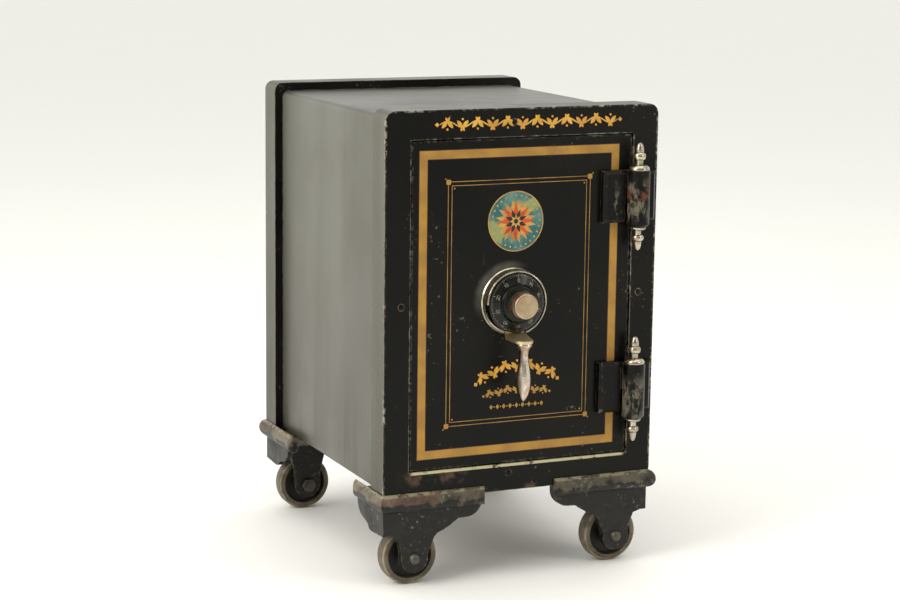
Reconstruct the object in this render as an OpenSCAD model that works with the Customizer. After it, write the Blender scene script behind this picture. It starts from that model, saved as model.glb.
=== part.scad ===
// Small antique fireproof floor safe on cast corner shoes with iron wheels.
// The front faces -Y and +Z is up. The origin is on the floor under the middle of the whole safe.
// Inside the modules y is counted backwards from the face of the front frame, and from_face()
// moves each sub-part to its place. The door is closed, with its locking bolts drawn back.

/* [Body] */
// Width across the front frame
body_w = 397; // [394:1:400]
// Height of the front frame
body_h = 516; // [510:1:522]
// Depth from the front frame's face to the rear frame's face
body_d = 470; // [462:2:480]
// Height of the body's underside above the floor
body_z = 122; // [121:0.5:123]
// How far the front frame stands above the shell
front_lap = 10; // [9:0.5:11]
// How far the front frame stands outside the shell at the sides
side_lap = 13.5; // [12.5:0.5:14.5]
// How far the rear frame stands outside the shell
rear_lap = 12; // [10:0.5:13]
// Depth of the front frame
front_frame_d = 44; // [40:1:48]
// Depth of the rear frame
rear_frame_d = 42; // [38:1:46]
// Thickness of the sheet-iron shell
shell_t = 4; // [3:0.5:5]

/* [Door] */
// Width of the door opening in the front frame
door_w = 324; // [320:1:326]
// Height of the door opening in the front frame
door_h = 441; // [438:1:444]
// Height of the door sill above the floor
sill_z = 158.6; // [157:0.2:160]
// Gap all round the closed door
door_gap = 1.6; // [1.4:0.1:1.8]
// How far the door's face lies behind the front frame's face
door_recess = 2; // [1:0.5:2.5]

/* [Hinges] */
// Distance of the hinge axis from the middle of the front
hinge_x = 162.5; // [162:0.5:163]
// Distance of the hinge axis in front of the front frame
hinge_out = 16.5; // [16:0.1:17]
// Radius of the hinge barrels
barrel_r = 15; // [14:0.5:15.5]

/* [Dial and handle] */
// Sideways place of the dial axis
dial_x = -14.7; // [-16:0.1:-12]
// Height of the dial axis above the floor
dial_z = 380.7; // [378:0.1:382]
// Outer radius of the fixed ring round the dial
ring_r = 43.5; // [42:0.5:45]
// Distance of the grip's axis in front of the front frame
grip_out = 38; // [36:0.5:40]
// Largest radius of the grip
grip_r = 10.25; // [9:0.25:11]
// How far the locking bolts move
bolt_throw = 18; // [17.5:0.1:18]

/* [Feet and wheels] */
// Radius of the wheels
wheel_r = 39.5; // [38:0.5:40]
// Width of the wheels at the hub
wheel_w = 24; // [22:0.5:25]
// Distance of the wheels from the middle of the front
wheel_x = 151; // [150:0.5:152]
// Distance of the front wheels behind the front frame's face
wheel_y = 31; // [30.5:0.25:31.5]
// How far the bead along a shoe's top edge bulges to either side of its middle line
bead_r = 9.4; // [9:0.1:9.8]

/* [Hidden] */
$fn = 96;
eps = 0.5;
half_w = body_w / 2;
body_top = body_z + body_h;
shell_half = half_w - side_lap;
shell_top = body_top - front_lap;
inner_half = shell_half - shell_t;
inner_z0 = body_z + shell_t;
inner_z1 = shell_top - shell_t;
rear_half = shell_half + rear_lap;
rear_top = shell_top + rear_lap;
frame_t = 10;
back_plate_t = 6;
seam = 0.3;
shell_y0 = frame_t;
shell_y1 = body_d - frame_t;

// Door opening and the stepped plug behind it. Each pair is [y, how far the wall has come in].
open_w = door_w / 2;
open_h = door_h / 2;
open_z = sill_z + open_h;
plate_t = 12;
plate_y0 = door_recess;
plate_y1 = plate_y0 + plate_t;
step_y = plate_y1 + 30;
plug_y1 = step_y + 40;
plug_steps = [[plate_y1, 13], [step_y, 18], [step_y, 26], [plug_y1, 37]];
jamb_y1 = plug_y1 + 6;
jamb_wall = 9;
jamb_steps = concat([[frame_t - eps, 0], [plate_y1, 0]], plug_steps, [[jamb_y1 + eps, 37]]);
jamb_back_steps = [[frame_t, 0], [plate_y1 + jamb_wall, 0], [plate_y1 + jamb_wall, 13],
    [step_y + jamb_wall, 18], [step_y + jamb_wall, 26], [jamb_y1, 36]];
plug_w = open_w - door_gap;
plug_h = open_h - door_gap;
plug_in = 37;
partition_y1 = step_y + 4;
fill_margin = 28;
cavity_w = plug_w - plug_in - 12;
cavity_h = plug_h - plug_in - 12;
inner_plate_t = 4;
inner_plate_w = plug_w - plug_in - 2.4;
inner_plate_h = plug_h - plug_in - 2.4;

// Iron box round the inside compartment, and the wooden cabinet in it.
room_w = open_w - plug_in;
room_h = open_h - plug_in;
box_t = 3;
room_y1 = 392;
board_t = 9;
cabinet_y0 = 98;
cabinet_w = room_w - 0.5;
cabinet_h = room_h - 0.5;
shelf_z = open_z + 20;
divider_xs = [-42, 42];

// Boltwork behind the partition.
bolt_y = 62;
bolt_r = 8;
running = 0.06;
bolt_zs = [open_z - 110, open_z, open_z + 110];
bolt_tip_x = -127;
bar_x0 = -92;
bar_x1 = -82;
bar_y0 = bolt_y - 8;
bar_y1 = bolt_y + 8;
dog_out = 9;
crank_swing = 30;
crank_r = bolt_throw / (2 * sin(crank_swing));
crank_pin_r = 3;
crank_pin_x = dial_x + crank_r * sin(crank_swing);
crank_pin_z = dial_z - crank_r * cos(crank_swing);
fork_slot = 7;
fork_y0 = 50.5;
fork_y1 = 55.5;
crank_y0 = 56.5;
crank_y1 = 60.5;
sleeve_r = 10;
spindle_r = 4;

// Combination lock on the dial's spindle.
lock_y0 = 62;
lock_y1 = 82;
lock_wall = 2.5;
lock_w = 34;
lock_h = 42;
lock_zc = dial_z + 6;
post_r = 7;
post_y1 = 73.5;
disc_r = 24;
disc_t = 1.6;
disc_pitch = 2.7;
disc_y0 = 65.5;
cam_y0 = 74.3;
cam_t = 2.4;
gate_w = 6;
lock_bolt_z = dial_z + 30.5;
lever_x = dial_x - 14;
fence_gap = 0.6;

// Hinges. Each is [lowest height of its barrel, height where the knuckles meet, barrel top,
// lower edge of its leaves, upper edge of its leaves].
upper_hinge = [474, 512.5, 551, 479.5, 550];
lower_hinge = [210, 250.5, 287, 218.5, 288.5];
knuckle_gap = 0.4;
pin_r = 4.5;
pin_running = 0.05;
leaf_t = 12;
leaf_bevel = 4;
barrel_bevel = 4;

// Dial.
ring_front = 16;
arm_t = 7;
arm_y0 = -12;
arm_y1 = arm_y0 + arm_t;
arm_w = 25;
collar_r = 11.5;
grip_z = 331;
knob_r = 17.3;
hub_front = 25.3;
knob_front = 45.5;

// Shoes and wheels.
shoe_half = 197;
bead_z = body_z - 3;
bead_half_h = 12.5;
bead_out = 0.6;
bead_x = shoe_half - 1.4;
shoe_z0 = body_z - 8;
shoe_in = 52;
front_arm = 98;
rear_arm = 119;
apron_t = 11;
apron_back = 3;
web_t = 8;
ear_gap = 5;
ear_r = 19.5;
axle_r = 6;
foot_bolt_r = 5;
foot_bolt_xs = [84, 168];
foot_bolt_ys = [66, body_d - 66];

// The grip's collar reaches furthest forwards, and the rear shoes' beads furthest back.
front_reach = grip_out + collar_r;
rear_reach = body_d + bead_out + bead_r;
face_y = -(front_reach + rear_reach) / 2 + front_reach;

function arc(cx, cy, r, a0, a1, n = 16) =
    [for (i = [0 : n]) let (a = a0 + (a1 - a0) * i / n) [cx + r * cos(a), cy + r * sin(a)]];

// Outline of a stepped plug of that half-width, mirrored about its middle.
function stepped_outline(half, steps) = concat(
    [for (s = steps) [half - s[1], s[0]]],
    [for (i = [len(steps) - 1 : -1 : 0]) [steps[i][1] - half, steps[i][0]]]);

module from_face() {
    translate([0, face_y, 0]) children();
}

// A flat shape in X and Z, given its thickness between two distances y0 and y1.
module slab(y0, y1) {
    translate([0, y1, 0]) rotate([90, 0, 0]) linear_extrude(y1 - y0) children();
}

module rod_y(r, y0, y1) {
    translate([0, y0, 0]) rotate([-90, 0, 0]) cylinder(r = r, h = y1 - y0);
}

module rod_x(r, x0, x1) {
    translate([x0, 0, 0]) rotate([0, 90, 0]) cylinder(r = r, h = x1 - x0);
}

module box(x0, x1, y0, y1, z0, z1) {
    translate([x0, y0, z0]) cube([x1 - x0, y1 - y0, z1 - z0]);
}

module round_rect(half, z0, z1, r) {
    union() {
        translate([-half + r, z0]) square([2 * (half - r), z1 - z0]);
        translate([-half, z0 + r]) square([2 * half, z1 - z0 - 2 * r]);
        for (x = [-half + r, half - r], z = [z0 + r, z1 - r])
            translate([x, z]) circle(r);
    }
}

// Solid with stepped sides all round, centred on the door.
module stepped_block(w, h, steps) {
    translate([0, 0, open_z]) intersection() {
        linear_extrude(2 * h + 2, center = true) polygon(stepped_outline(w, steps));
        rotate([0, -90, 0]) linear_extrude(2 * w + 2, center = true)
            polygon(stepped_outline(h, steps));
    }
}

// ---- Body ----

frame_rivet_places = [[-174.5, 382], [174.5, 382], [-16, 146], [-16, 619]];
frame_rivet_r = 4.5;
rear_rivet_r = 4;

module rear_rivet_places() {
    for (x = [-170, -60, 60, 170], z = [143, 619]) translate([x, 0, z]) children();
    for (x = [-176, 176], z = [262, 381, 500]) translate([x, 0, z]) children();
}

module front_frame() {
    color([0.10, 0.10, 0.09]) from_face() difference() {
        slab(0, front_frame_d) round_rect(half_w, body_z, body_top, 14);
        slab(frame_t, front_frame_d + eps) round_rect(shell_half, body_z - 20, shell_top, 10);
        slab(-eps, frame_t + eps) round_rect(open_w, sill_z, sill_z + door_h, 3);
        for (p = frame_rivet_places)
            translate([p[0], 0, p[1]]) rod_y(frame_rivet_r, -eps, frame_t + eps);
    }
}

module rear_frame() {
    color([0.10, 0.10, 0.09]) from_face() difference() {
        slab(body_d - rear_frame_d, body_d) round_rect(rear_half, body_z, rear_top, 12);
        slab(body_d - rear_frame_d - eps, shell_y1)
            round_rect(shell_half, body_z - 20, shell_top, 10);
        slab(shell_y1 - eps, body_d + eps)
            round_rect(shell_half - 32, body_z + 38, shell_top - 28, 8);
        rear_rivet_places() rod_y(rear_rivet_r, body_d - frame_t - eps, body_d + eps);
    }
}

// The sheet is a little thinner under both frames, which leaves a seam round their edges.
module outer_shell() {
    color([0.22, 0.22, 0.21]) from_face() difference() {
        union() {
            slab(shell_y0, shell_y1)
                round_rect(shell_half - seam, body_z + seam, shell_top - seam, 10 - seam);
            slab(front_frame_d + eps, body_d - rear_frame_d - eps)
                round_rect(shell_half, body_z, shell_top, 10);
        }
        slab(shell_y0 - eps, shell_y1 + eps) round_rect(inner_half, inner_z0, inner_z1, 6);
        shoe_bolt_places() cylinder(r = foot_bolt_r, h = body_z + 20);
    }
}

module back_plate() {
    color([0.12, 0.12, 0.11]) from_face() difference() {
        slab(shell_y1 - back_plate_t, shell_y1) round_rect(inner_half, inner_z0, inner_z1, 6);
        rear_rivet_places() rod_y(rear_rivet_r, shell_y1 - back_plate_t - eps, shell_y1 + eps);
    }
}

module jamb_frame() {
    color([0.16, 0.16, 0.15]) from_face() difference() {
        union() {
            slab(frame_t, frame_t + 8) round_rect(inner_half, inner_z0, inner_z1, 6);
            stepped_block(open_w + jamb_wall, open_h + jamb_wall, jamb_back_steps);
        }
        stepped_block(open_w, open_h, jamb_steps);
        for (z = bolt_zs) translate([0, bolt_y, z]) {
            rod_x(bolt_r + 2, -open_w, -100);
            rod_x(bolt_r + 5, 100, open_w);
        }
        for (p = frame_rivet_places)
            translate([p[0], 0, p[1]]) rod_y(frame_rivet_r, frame_t - eps, frame_t + 8 + eps);
    }
}

module fireproof_lining() {
    color([0.72, 0.68, 0.60]) from_face() difference() {
        slab(frame_t + 8, shell_y1 - back_plate_t) round_rect(inner_half, inner_z0, inner_z1, 6);
        stepped_block(open_w + jamb_wall, open_h + jamb_wall, jamb_back_steps);
        box(-room_w - box_t, room_w + box_t, jamb_y1 - 2, room_y1 + box_t,
            open_z - room_h - box_t, open_z + room_h + box_t);
        for (z = bolt_zs) translate([0, bolt_y, z]) rod_x(bolt_r + 5, -open_w + 4, open_w - 4);
        shoe_bolt_places() cylinder(r = foot_bolt_r, h = body_z + 22);
    }
}

module inner_box() {
    color([0.30, 0.29, 0.27]) from_face() difference() {
        box(-room_w - box_t, room_w + box_t, jamb_y1, room_y1 + box_t,
            open_z - room_h - box_t, open_z + room_h + box_t);
        box(-room_w, room_w, jamb_y1 - eps, room_y1, open_z - room_h, open_z + room_h);
    }
}

module frame_rivets() {
    color([0.13, 0.13, 0.12]) from_face()
        for (p = frame_rivet_places) translate([p[0], 0, p[1]]) {
            rod_y(frame_rivet_r, 0, frame_t + 8);
            intersection() {
                translate([0, 8.6, 0]) sphere(r = 9.6);
                rod_y(frame_rivet_r, -2, 0);
            }
        }
}

module rear_rivets() {
    color([0.13, 0.13, 0.12]) from_face() rear_rivet_places() {
        rod_y(rear_rivet_r, shell_y1 - back_plate_t, body_d);
        intersection() {
            translate([0, body_d - 4.5, 0]) sphere(r = 9);
            rod_y(9, body_d, body_d + 6);
        }
    }
}

// ---- Cabinet inside ----

module cabinet_case() {
    color([0.42, 0.24, 0.12]) from_face() difference() {
        box(-cabinet_w, cabinet_w, cabinet_y0, room_y1, open_z - room_h, open_z + cabinet_h);
        box(-cabinet_w + board_t, cabinet_w - board_t, cabinet_y0 - eps, room_y1 - 6,
            open_z - room_h + board_t, open_z + cabinet_h - board_t);
    }
}

module cabinet_shelf() {
    color([0.46, 0.27, 0.14]) from_face()
        box(-cabinet_w + board_t, cabinet_w - board_t, cabinet_y0 + 4, room_y1 - 6,
            shelf_z, shelf_z + board_t);
}

module cabinet_dividers() {
    color([0.46, 0.27, 0.14]) from_face() for (x = divider_xs)
        box(x - 3, x + 3, cabinet_y0 + 10, room_y1 - 6,
            shelf_z + board_t, open_z + cabinet_h - board_t);
}

// ---- Shoes, axles and wheels ----

module shoe_bolt_places() {
    for (x = foot_bolt_xs, side = [-1, 1], y = foot_bolt_ys) translate([side * x, y, 0]) children();
}

// Outline of the apron across the front, for the right-hand shoe.
function apron_outline() = concat(
    [[shoe_half - 0.5, bead_z], [shoe_half - 1, 100], [shoe_half - 4, 84]],
    arc(184, 80, 7, 0, -70, 6),
    [[178, 71], [173, 61], [170.8, 50]],
    arc(wheel_x, wheel_r, ear_r, 12, -192, 28),
    [[128.5, 52], [125.5, 61], [122.5, 68], [118, 72.5], [110, 75.5], [98.5, 82], [88, 89.5]],
    arc(76, 113, 23, -90, -180, 10),
    [[shoe_in + 1, bead_z]]);

// Outline of the inner ear, which holds the far end of the axle.
function ear_outline() = concat(
    [[wheel_x + 34, bead_z], [wheel_x + 26, 84], [wheel_x + 20, 60]],
    arc(wheel_x, wheel_r, ear_r, 12, -192, 28),
    [[wheel_x - 20, 60], [wheel_x - 26, 84], [wheel_x - 34, bead_z]]);

// Outline of the apron along the side, from the corner backwards.
function side_outline() = concat(
    [[apron_back, bead_z], [apron_back, 74], [40, 72]],
    arc(46, 84, 12, -90, -25, 5),
    [[66, 82]],
    arc(72, 107, 23, -80, 0, 8),
    [[95, bead_z]]);

function oval() = [for (i = [0 : 23]) [bead_r * cos(15 * i), bead_half_h * sin(15 * i)]];

// Plan of the bead: along the front, round the corner and along the side, with rounded ends.
function bead_plan(arm) =
    let (r = bead_r + 0.5)
    concat(
        [for (i = [0 : 8]) let (a = 22.5 * i - 90) [
            shoe_in + bead_r * (1 - cos(a)), -bead_out + r * sin(a)]],
        [[bead_x - r, -bead_out + r]],
        [for (i = [0 : 8]) let (a = 22.5 * i - 90) [
            bead_x + r * sin(a), arm - bead_r * (1 - cos(a))]],
        [[bead_x + r, -bead_out - r]]);

// Oval bead along a shoe's top edge. Its two straight bars meet in a mitre at the corner.
module bead(arm) {
    far = 40;
    mitre_out = [bead_x - bead_out + far, -far];
    mitre_in = [bead_x - bead_out - far, far];
    intersection() {
        union() {
            intersection() {
                translate([shoe_in, -bead_out, bead_z]) rotate([90, 0, 90])
                    linear_extrude(bead_x + bead_r - shoe_in) polygon(oval());
                linear_extrude(body_z + far) polygon([[0, -far], mitre_out, mitre_in, [0, far]]);
            }
            intersection() {
                translate([bead_x, arm, bead_z]) rotate([90, 0, 0])
                    linear_extrude(arm + bead_out + bead_r) polygon(oval());
                linear_extrude(body_z + far) polygon([mitre_out, [bead_x + 2 * far, -far],
                    [bead_x + 2 * far, arm + far], [mitre_in[0], arm + far], mitre_in]);
            }
        }
        linear_extrude(body_z + far) polygon(bead_plan(arm));
    }
}

// Right-hand front shoe with its corner at y = 0. arm is its length along the side, and
// body_half is the half-width of the frame that stands in it.
module shoe(arm, body_half) {
    ear_y = apron_back + apron_t + 2 * ear_gap + wheel_w;
    difference() {
        union() {
            bead(arm);
            translate([0, 0, shoe_z0]) linear_extrude(body_z - shoe_z0) polygon([
                [shoe_in + bead_r, 0], [bead_x, 0], [bead_x, arm - bead_r],
                [bead_x - 44, arm - bead_r], [shoe_in + bead_r, 72]]);
            slab(apron_back, apron_back + apron_t) polygon(apron_outline());
            slab(ear_y, ear_y + web_t) polygon(ear_outline());
            translate([shoe_half, 0, 0]) rotate([90, 0, -90]) mirror([1, 0, 0])
                linear_extrude(web_t) polygon(side_outline());
        }
        box(0, body_half, 0, body_d, body_z, body_z + 40);
        translate([wheel_x, 0, wheel_r]) rod_y(axle_r, -eps, 80);
        for (x = foot_bolt_xs) translate([x, foot_bolt_ys[0], 0])
            cylinder(r = foot_bolt_r, h = body_z + eps);
    }
}

// Puts the right-hand front shoe at one of the four corners.
module at_corner(side, back) {
    from_face() translate([0, back ? body_d : 0, 0]) mirror([0, back ? 1 : 0, 0])
        mirror([side < 0 ? 1 : 0, 0, 0]) children();
}

module shoe_front_left() color([0.20, 0.18, 0.15]) at_corner(-1, false) shoe(front_arm, half_w);
module shoe_front_right() color([0.20, 0.18, 0.15]) at_corner(1, false) shoe(front_arm, half_w);
module shoe_rear_left() color([0.20, 0.18, 0.15]) at_corner(-1, true) shoe(rear_arm, rear_half);
module shoe_rear_right() color([0.20, 0.18, 0.15]) at_corner(1, true) shoe(rear_arm, rear_half);

module shoe_bolts() {
    color([0.25, 0.24, 0.22]) from_face() shoe_bolt_places() {
        translate([0, 0, shoe_z0]) cylinder(r = foot_bolt_r, h = 26);
        translate([0, 0, shoe_z0 - 6]) cylinder(r = 9, h = 6, $fn = 6);
    }
}

module at_axles() {
    for (side = [-1, 1], back = [false, true])
        at_corner(side, back) translate([wheel_x, 0, wheel_r]) children();
}

axle_y1 = apron_back + apron_t + 2 * ear_gap + wheel_w + web_t;

module axle_bolts() {
    color([0.45, 0.43, 0.40]) at_axles() {
        rod_y(axle_r, apron_back, axle_y1 + 9);
        intersection() {
            translate([0, apron_back + 1.5, 0]) sphere(r = 8.5);
            rod_y(9, apron_back - 8, apron_back);
        }
    }
}

module axle_nuts() {
    color([0.25, 0.24, 0.22]) at_axles() difference() {
        translate([0, axle_y1, 0]) rotate([-90, 0, 0]) cylinder(r = 10.5, h = 7, $fn = 6);
        rod_y(axle_r, axle_y1 - eps, axle_y1 + 7 + eps);
    }
}

// Cast wheel: a hub, a thin web and a rounded rim, turned about its axle.
module wheel() {
    half = wheel_w / 2;
    bore = axle_r + running;
    rim = wheel_r - 8.5;
    translate([wheel_x, wheel_y, wheel_r]) rotate([-90, 0, 0]) rotate_extrude() polygon(concat(
        [[bore, -half], [13, -half], [14, -3.5], [rim - 1, -3.5], [rim, 1 - half]],
        [[wheel_r - 1.6, 1 - half], [wheel_r, -6], [wheel_r, 6], [wheel_r - 1.6, half - 1]],
        [[rim, half - 1], [rim - 1, 3.5], [14, 3.5], [13, half], [bore, half]]));
}

module wheel_front_left() color([0.33, 0.29, 0.24]) at_corner(-1, false) wheel();
module wheel_front_right() color([0.33, 0.29, 0.24]) at_corner(1, false) wheel();
module wheel_rear_left() color([0.33, 0.29, 0.24]) at_rear_wheel(-1) wheel();
module wheel_rear_right() color([0.33, 0.29, 0.24]) at_rear_wheel(1) wheel();

module at_rear_wheel(side) at_corner(side, true) children();

// ---- Hinges ----

module at_hinge() {
    translate([hinge_x, -hinge_out, 0]) children();
}

// Leaf with bevelled edges. reach and web are the distances of its free edge and of its inner end
// from the axis, and side is -1 or 1.
module leaf(side, reach, web, z0, z1, back) {
    front = back - leaf_t;
    intersection() {
        translate([hinge_x, 0, z0]) linear_extrude(z1 - z0) polygon([
            [side * web, back], [side * reach, back], [side * reach, front + leaf_bevel],
            [side * (reach - leaf_bevel), front], [side * web, front]]);
        translate([hinge_x - reach - 1, 0, 0]) rotate([90, 0, 90])
            linear_extrude(2 * reach + 2) polygon([
                [back + 1, z0], [back + 1, z1], [front + leaf_bevel, z1], [front, z1 - leaf_bevel],
                [front, z0 + leaf_bevel], [front + leaf_bevel, z0]]);
    }
}

module door_hinge(h) {
    difference() {
        union() {
            leaf(-1, 48, 16.5, h[3], h[4], plate_y0);
            box(hinge_x - 24, hinge_x, plate_y0 - leaf_t + 1, -1, h[1] + knuckle_gap / 2, h[2]);
            at_hinge() translate([0, 0, h[1] + knuckle_gap / 2])
                cylinder(r = barrel_r, h = h[2] - h[1] - knuckle_gap / 2);
        }
        at_hinge() translate([0, 0, h[0]]) cylinder(r = pin_r + pin_running, h = h[2]);
    }
}

module frame_hinge(h) {
    difference() {
        union() {
            leaf(1, 29.5, 8, h[3] + 1.5, h[4] - 1.5, 0);
            at_hinge() translate([0, 0, h[0]]) rotate_extrude() polygon([
                [0, 0], [barrel_r - barrel_bevel + 0.5, 0], [barrel_r, barrel_bevel],
                [barrel_r, h[1] - h[0] - knuckle_gap / 2], [0, h[1] - h[0] - knuckle_gap / 2]]);
        }
        // Room for the door's knuckle and the end of its leaf to turn in.
        at_hinge() translate([0, 0, h[1] - knuckle_gap / 2])
            cylinder(r = barrel_r + 0.8, h = h[2] - h[1] + 2);
        at_hinge() translate([0, 0, h[0] - eps]) cylinder(r = pin_r, h = h[2]);
    }
}

module door_hinge_upper() color([0.10, 0.10, 0.09]) from_face() door_hinge(upper_hinge);
module door_hinge_lower() color([0.10, 0.10, 0.09]) from_face() door_hinge(lower_hinge);
module frame_hinge_upper() color([0.12, 0.12, 0.11]) from_face() frame_hinge(upper_hinge);
module frame_hinge_lower() color([0.12, 0.12, 0.11]) from_face() frame_hinge(lower_hinge);

module hinge_pin(h) {
    at_hinge() translate([0, 0, h[0] - 3]) cylinder(r = pin_r, h = h[2] - h[0] + 8);
}

module hinge_pin_upper() color([0.60, 0.58, 0.55]) from_face() hinge_pin(upper_hinge);
module hinge_pin_lower() color([0.60, 0.58, 0.55]) from_face() hinge_pin(lower_hinge);

// Turned finial standing on z = 0: a dome, a neck, a bead and an egg-shaped tip.
// dome is [radius, height], bead is [radius, lower end, upper end], tip is [radius, upper end].
module finial(dome, neck_r, bead, tip) {
    half = (bead[2] - bead[1]) / 2;
    rotate_extrude() polygon(concat(
        [[0, 0], [dome[0], 0]],
        [for (i = [0 : 7]) let (a = 90 * i / 7) [
            neck_r + (dome[0] - neck_r) * cos(a), 1 + (dome[1] - 1) * sin(a)]],
        [for (i = [0 : 10]) let (a = 18 * i - 90) [
            neck_r + (bead[0] - neck_r) * cos(a), bead[1] + half + half * sin(a)]],
        [for (i = [0 : 9]) let (t = i / 9) [
            tip[0] * sqrt(1 - pow(t, 2.2)), bead[2] + 0.4 + (tip[1] - bead[2] - 0.4) * t]]));
}

module hinge_finials(h) {
    at_hinge() difference() {
        union() {
            translate([0, 0, h[2] + 0.4]) finial([14, 7.6], 4.9, [8.4, 12.9, 23.5], [5.7, 37.4]);
            translate([0, 0, h[0]]) mirror([0, 0, 1])
                finial([10.8, 4.5], 4.6, [8.3, 10, 19], [5.2, 32.4]);
        }
        translate([0, 0, h[0] - 3]) cylinder(r = pin_r, h = h[2] - h[0] + 8);
    }
}

module hinge_finials_upper() color([0.72, 0.70, 0.66]) from_face() hinge_finials(upper_hinge);
module hinge_finials_lower() color([0.72, 0.70, 0.66]) from_face() hinge_finials(lower_hinge);

// ---- Door ----

module door_plate() {
    color([0.08, 0.08, 0.08]) from_face() difference() {
        slab(plate_y0, plate_y1) round_rect(plug_w, open_z - plug_h, open_z + plug_h, 2.5);
        at_dial() rod_y(sleeve_r + running, plate_y0 - eps, plate_y1 + eps);
    }
}

module door_casting() {
    color([0.18, 0.18, 0.17]) from_face() difference() {
        stepped_block(plug_w, plug_h, plug_steps);
        box(-(plug_w - fill_margin), plug_w - fill_margin, plate_y1 - eps, step_y,
            open_z - plug_h + fill_margin, open_z + plug_h - fill_margin);
        box(-cavity_w, cavity_w, partition_y1, plug_y1 + eps, open_z - cavity_h, open_z + cavity_h);
        at_dial() rod_y(sleeve_r + running, step_y - eps, partition_y1 + eps);
        for (z = bolt_zs) translate([0, bolt_y, z]) {
            rod_x(bolt_r + running, -plug_w, -cavity_w + eps);
            rod_x(bolt_r, cavity_w - 8, plug_w);
        }
        inner_screw_places() rod_y(2.5, plug_y1 - 12, plug_y1 + eps);
    }
}

module door_filling() {
    color([0.72, 0.68, 0.60]) from_face() difference() {
        box(-(plug_w - fill_margin), plug_w - fill_margin, plate_y1, step_y,
            open_z - plug_h + fill_margin, open_z + plug_h - fill_margin);
        at_dial() rod_y(sleeve_r + 2, plate_y1 - eps, step_y + eps);
    }
}

module inner_screw_places() {
    for (x = [-1, 1] * (cavity_w + 5), z = [-1, -0.34, 0.34, 1] * (cavity_h - 6))
        translate([x, 0, open_z + z]) children();
}

module door_inner_plate() {
    color([0.35, 0.33, 0.30]) from_face() difference() {
        slab(plug_y1, plug_y1 + inner_plate_t)
            round_rect(inner_plate_w, open_z - inner_plate_h, open_z + inner_plate_h, 6);
        inner_screw_places() rod_y(2.5, plug_y1 - eps, plug_y1 + inner_plate_t + eps);
    }
}

module inner_plate_screws() {
    color([0.72, 0.60, 0.34]) from_face() inner_screw_places() {
        rod_y(2.5, plug_y1 - 12, plug_y1 + inner_plate_t);
        intersection() {
            translate([0, plug_y1 + inner_plate_t - 4, 0]) sphere(r = 6);
            difference() {
                rod_y(5.5, plug_y1 + inner_plate_t, plug_y1 + inner_plate_t + 3);
                box(-8, 8, plug_y1 + inner_plate_t + 1, plug_y1 + inner_plate_t + 4, -0.6, 0.6);
            }
        }
    }
}

module hinge_side_dogs() {
    color([0.62, 0.60, 0.57]) from_face() for (z = bolt_zs)
        translate([0, bolt_y, z]) rod_x(bolt_r, cavity_w - 8, plug_w - 31 + dog_out);
}

module bolt_guides() {
    color([0.50, 0.48, 0.45]) from_face() for (z = [open_z - 62, open_z + 62]) {
        box(-78, -73, partition_y1, bar_y1 + 3.4, z - 9, z + 9);
        box(-cavity_w, -73, bar_y1 + 0.4, bar_y1 + 3.4, z - 9, z + 9);
    }
}

// ---- Dial, ring, handle ----

module at_dial() {
    translate([dial_x, 0, dial_z]) children();
}

// Fixed ring, cut down from nine o'clock to half past five so that the arm can swing.
module dial_ring() {
    color([0.55, 0.53, 0.50]) from_face() at_dial() difference() {
        translate([0, plate_y0, 0]) rotate([90, 0, 0]) rotate_extrude() polygon(concat(
            [[ring_r - 2.6, 0], [ring_r + 2, 0], [ring_r + 1.6, 1.6], [ring_r + 0.4, 3]],
            [[ring_r, 5]],
            arc(ring_r - 1.3, ring_front + plate_y0 - 1.3, 1.3, 0, 180, 8)));
        slab(-ring_front - 2, -3.6) polygon(concat([[0, 0]],
            arc(0, 0, ring_r + 8, 180, 289, 12)));
    }
}

module dial() {
    color([0.06, 0.06, 0.06]) from_face() at_dial() difference() {
        rotate([90, 0, 0]) rotate_extrude() polygon(concat(
            [[spindle_r, 13], [40, 13], [40, 15], [38.8, 15.6], [26.5, 20.8], [25, 20.2]],
            [[24.3, 21]],
            arc(22.6, 23.2, 1.5, 0, 80, 4),
            [[19.5, 24.9], [17.8, hub_front], [spindle_r, hub_front]]));
    }
}

module dial_knob() {
    color([0.75, 0.70, 0.64]) from_face() at_dial() rotate([90, 0, 0]) rotate_extrude()
        polygon(concat(
            [[spindle_r, hub_front], [knob_r - 1, hub_front], [knob_r, hub_front + 1]],
            [[knob_r, 37.8], [knob_r - 1.6, 38.3], [knob_r - 1.6, 39.6], [knob_r, 40.1]],
            arc(knob_r - 3, knob_front - 3, 3, 0, 90, 6),
            [[0, knob_front + 0.3], [0, 40], [spindle_r, 40]]));
}

module dial_spindle() {
    color([0.60, 0.58, 0.55]) from_face() at_dial() rod_y(spindle_r, -40, cam_y0 + cam_t + 1.5);
}

module drive_cam() {
    color([0.70, 0.58, 0.32]) from_face() at_dial() difference() {
        rod_y(20, cam_y0, cam_y0 + cam_t);
        rod_y(spindle_r, cam_y0 - eps, cam_y0 + cam_t + eps);
        translate([-4, cam_y0 - eps, 15]) cube([8, cam_t + 2 * eps, 8]);
    }
}

module lock_wheel(i) {
    y0 = disc_y0 + i * disc_pitch;
    color([0.72, 0.60, 0.34]) from_face() at_dial() difference() {
        rod_y(disc_r, y0, y0 + disc_t);
        rod_y(post_r + running, y0 - eps, y0 + disc_t + eps);
        translate([-gate_w / 2, y0 - eps, disc_r - 7]) cube([gate_w, disc_t + 2 * eps, 10]);
    }
}

module lock_wheel_1() lock_wheel(0);
module lock_wheel_2() lock_wheel(1);
module lock_wheel_3() lock_wheel(2);

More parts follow.
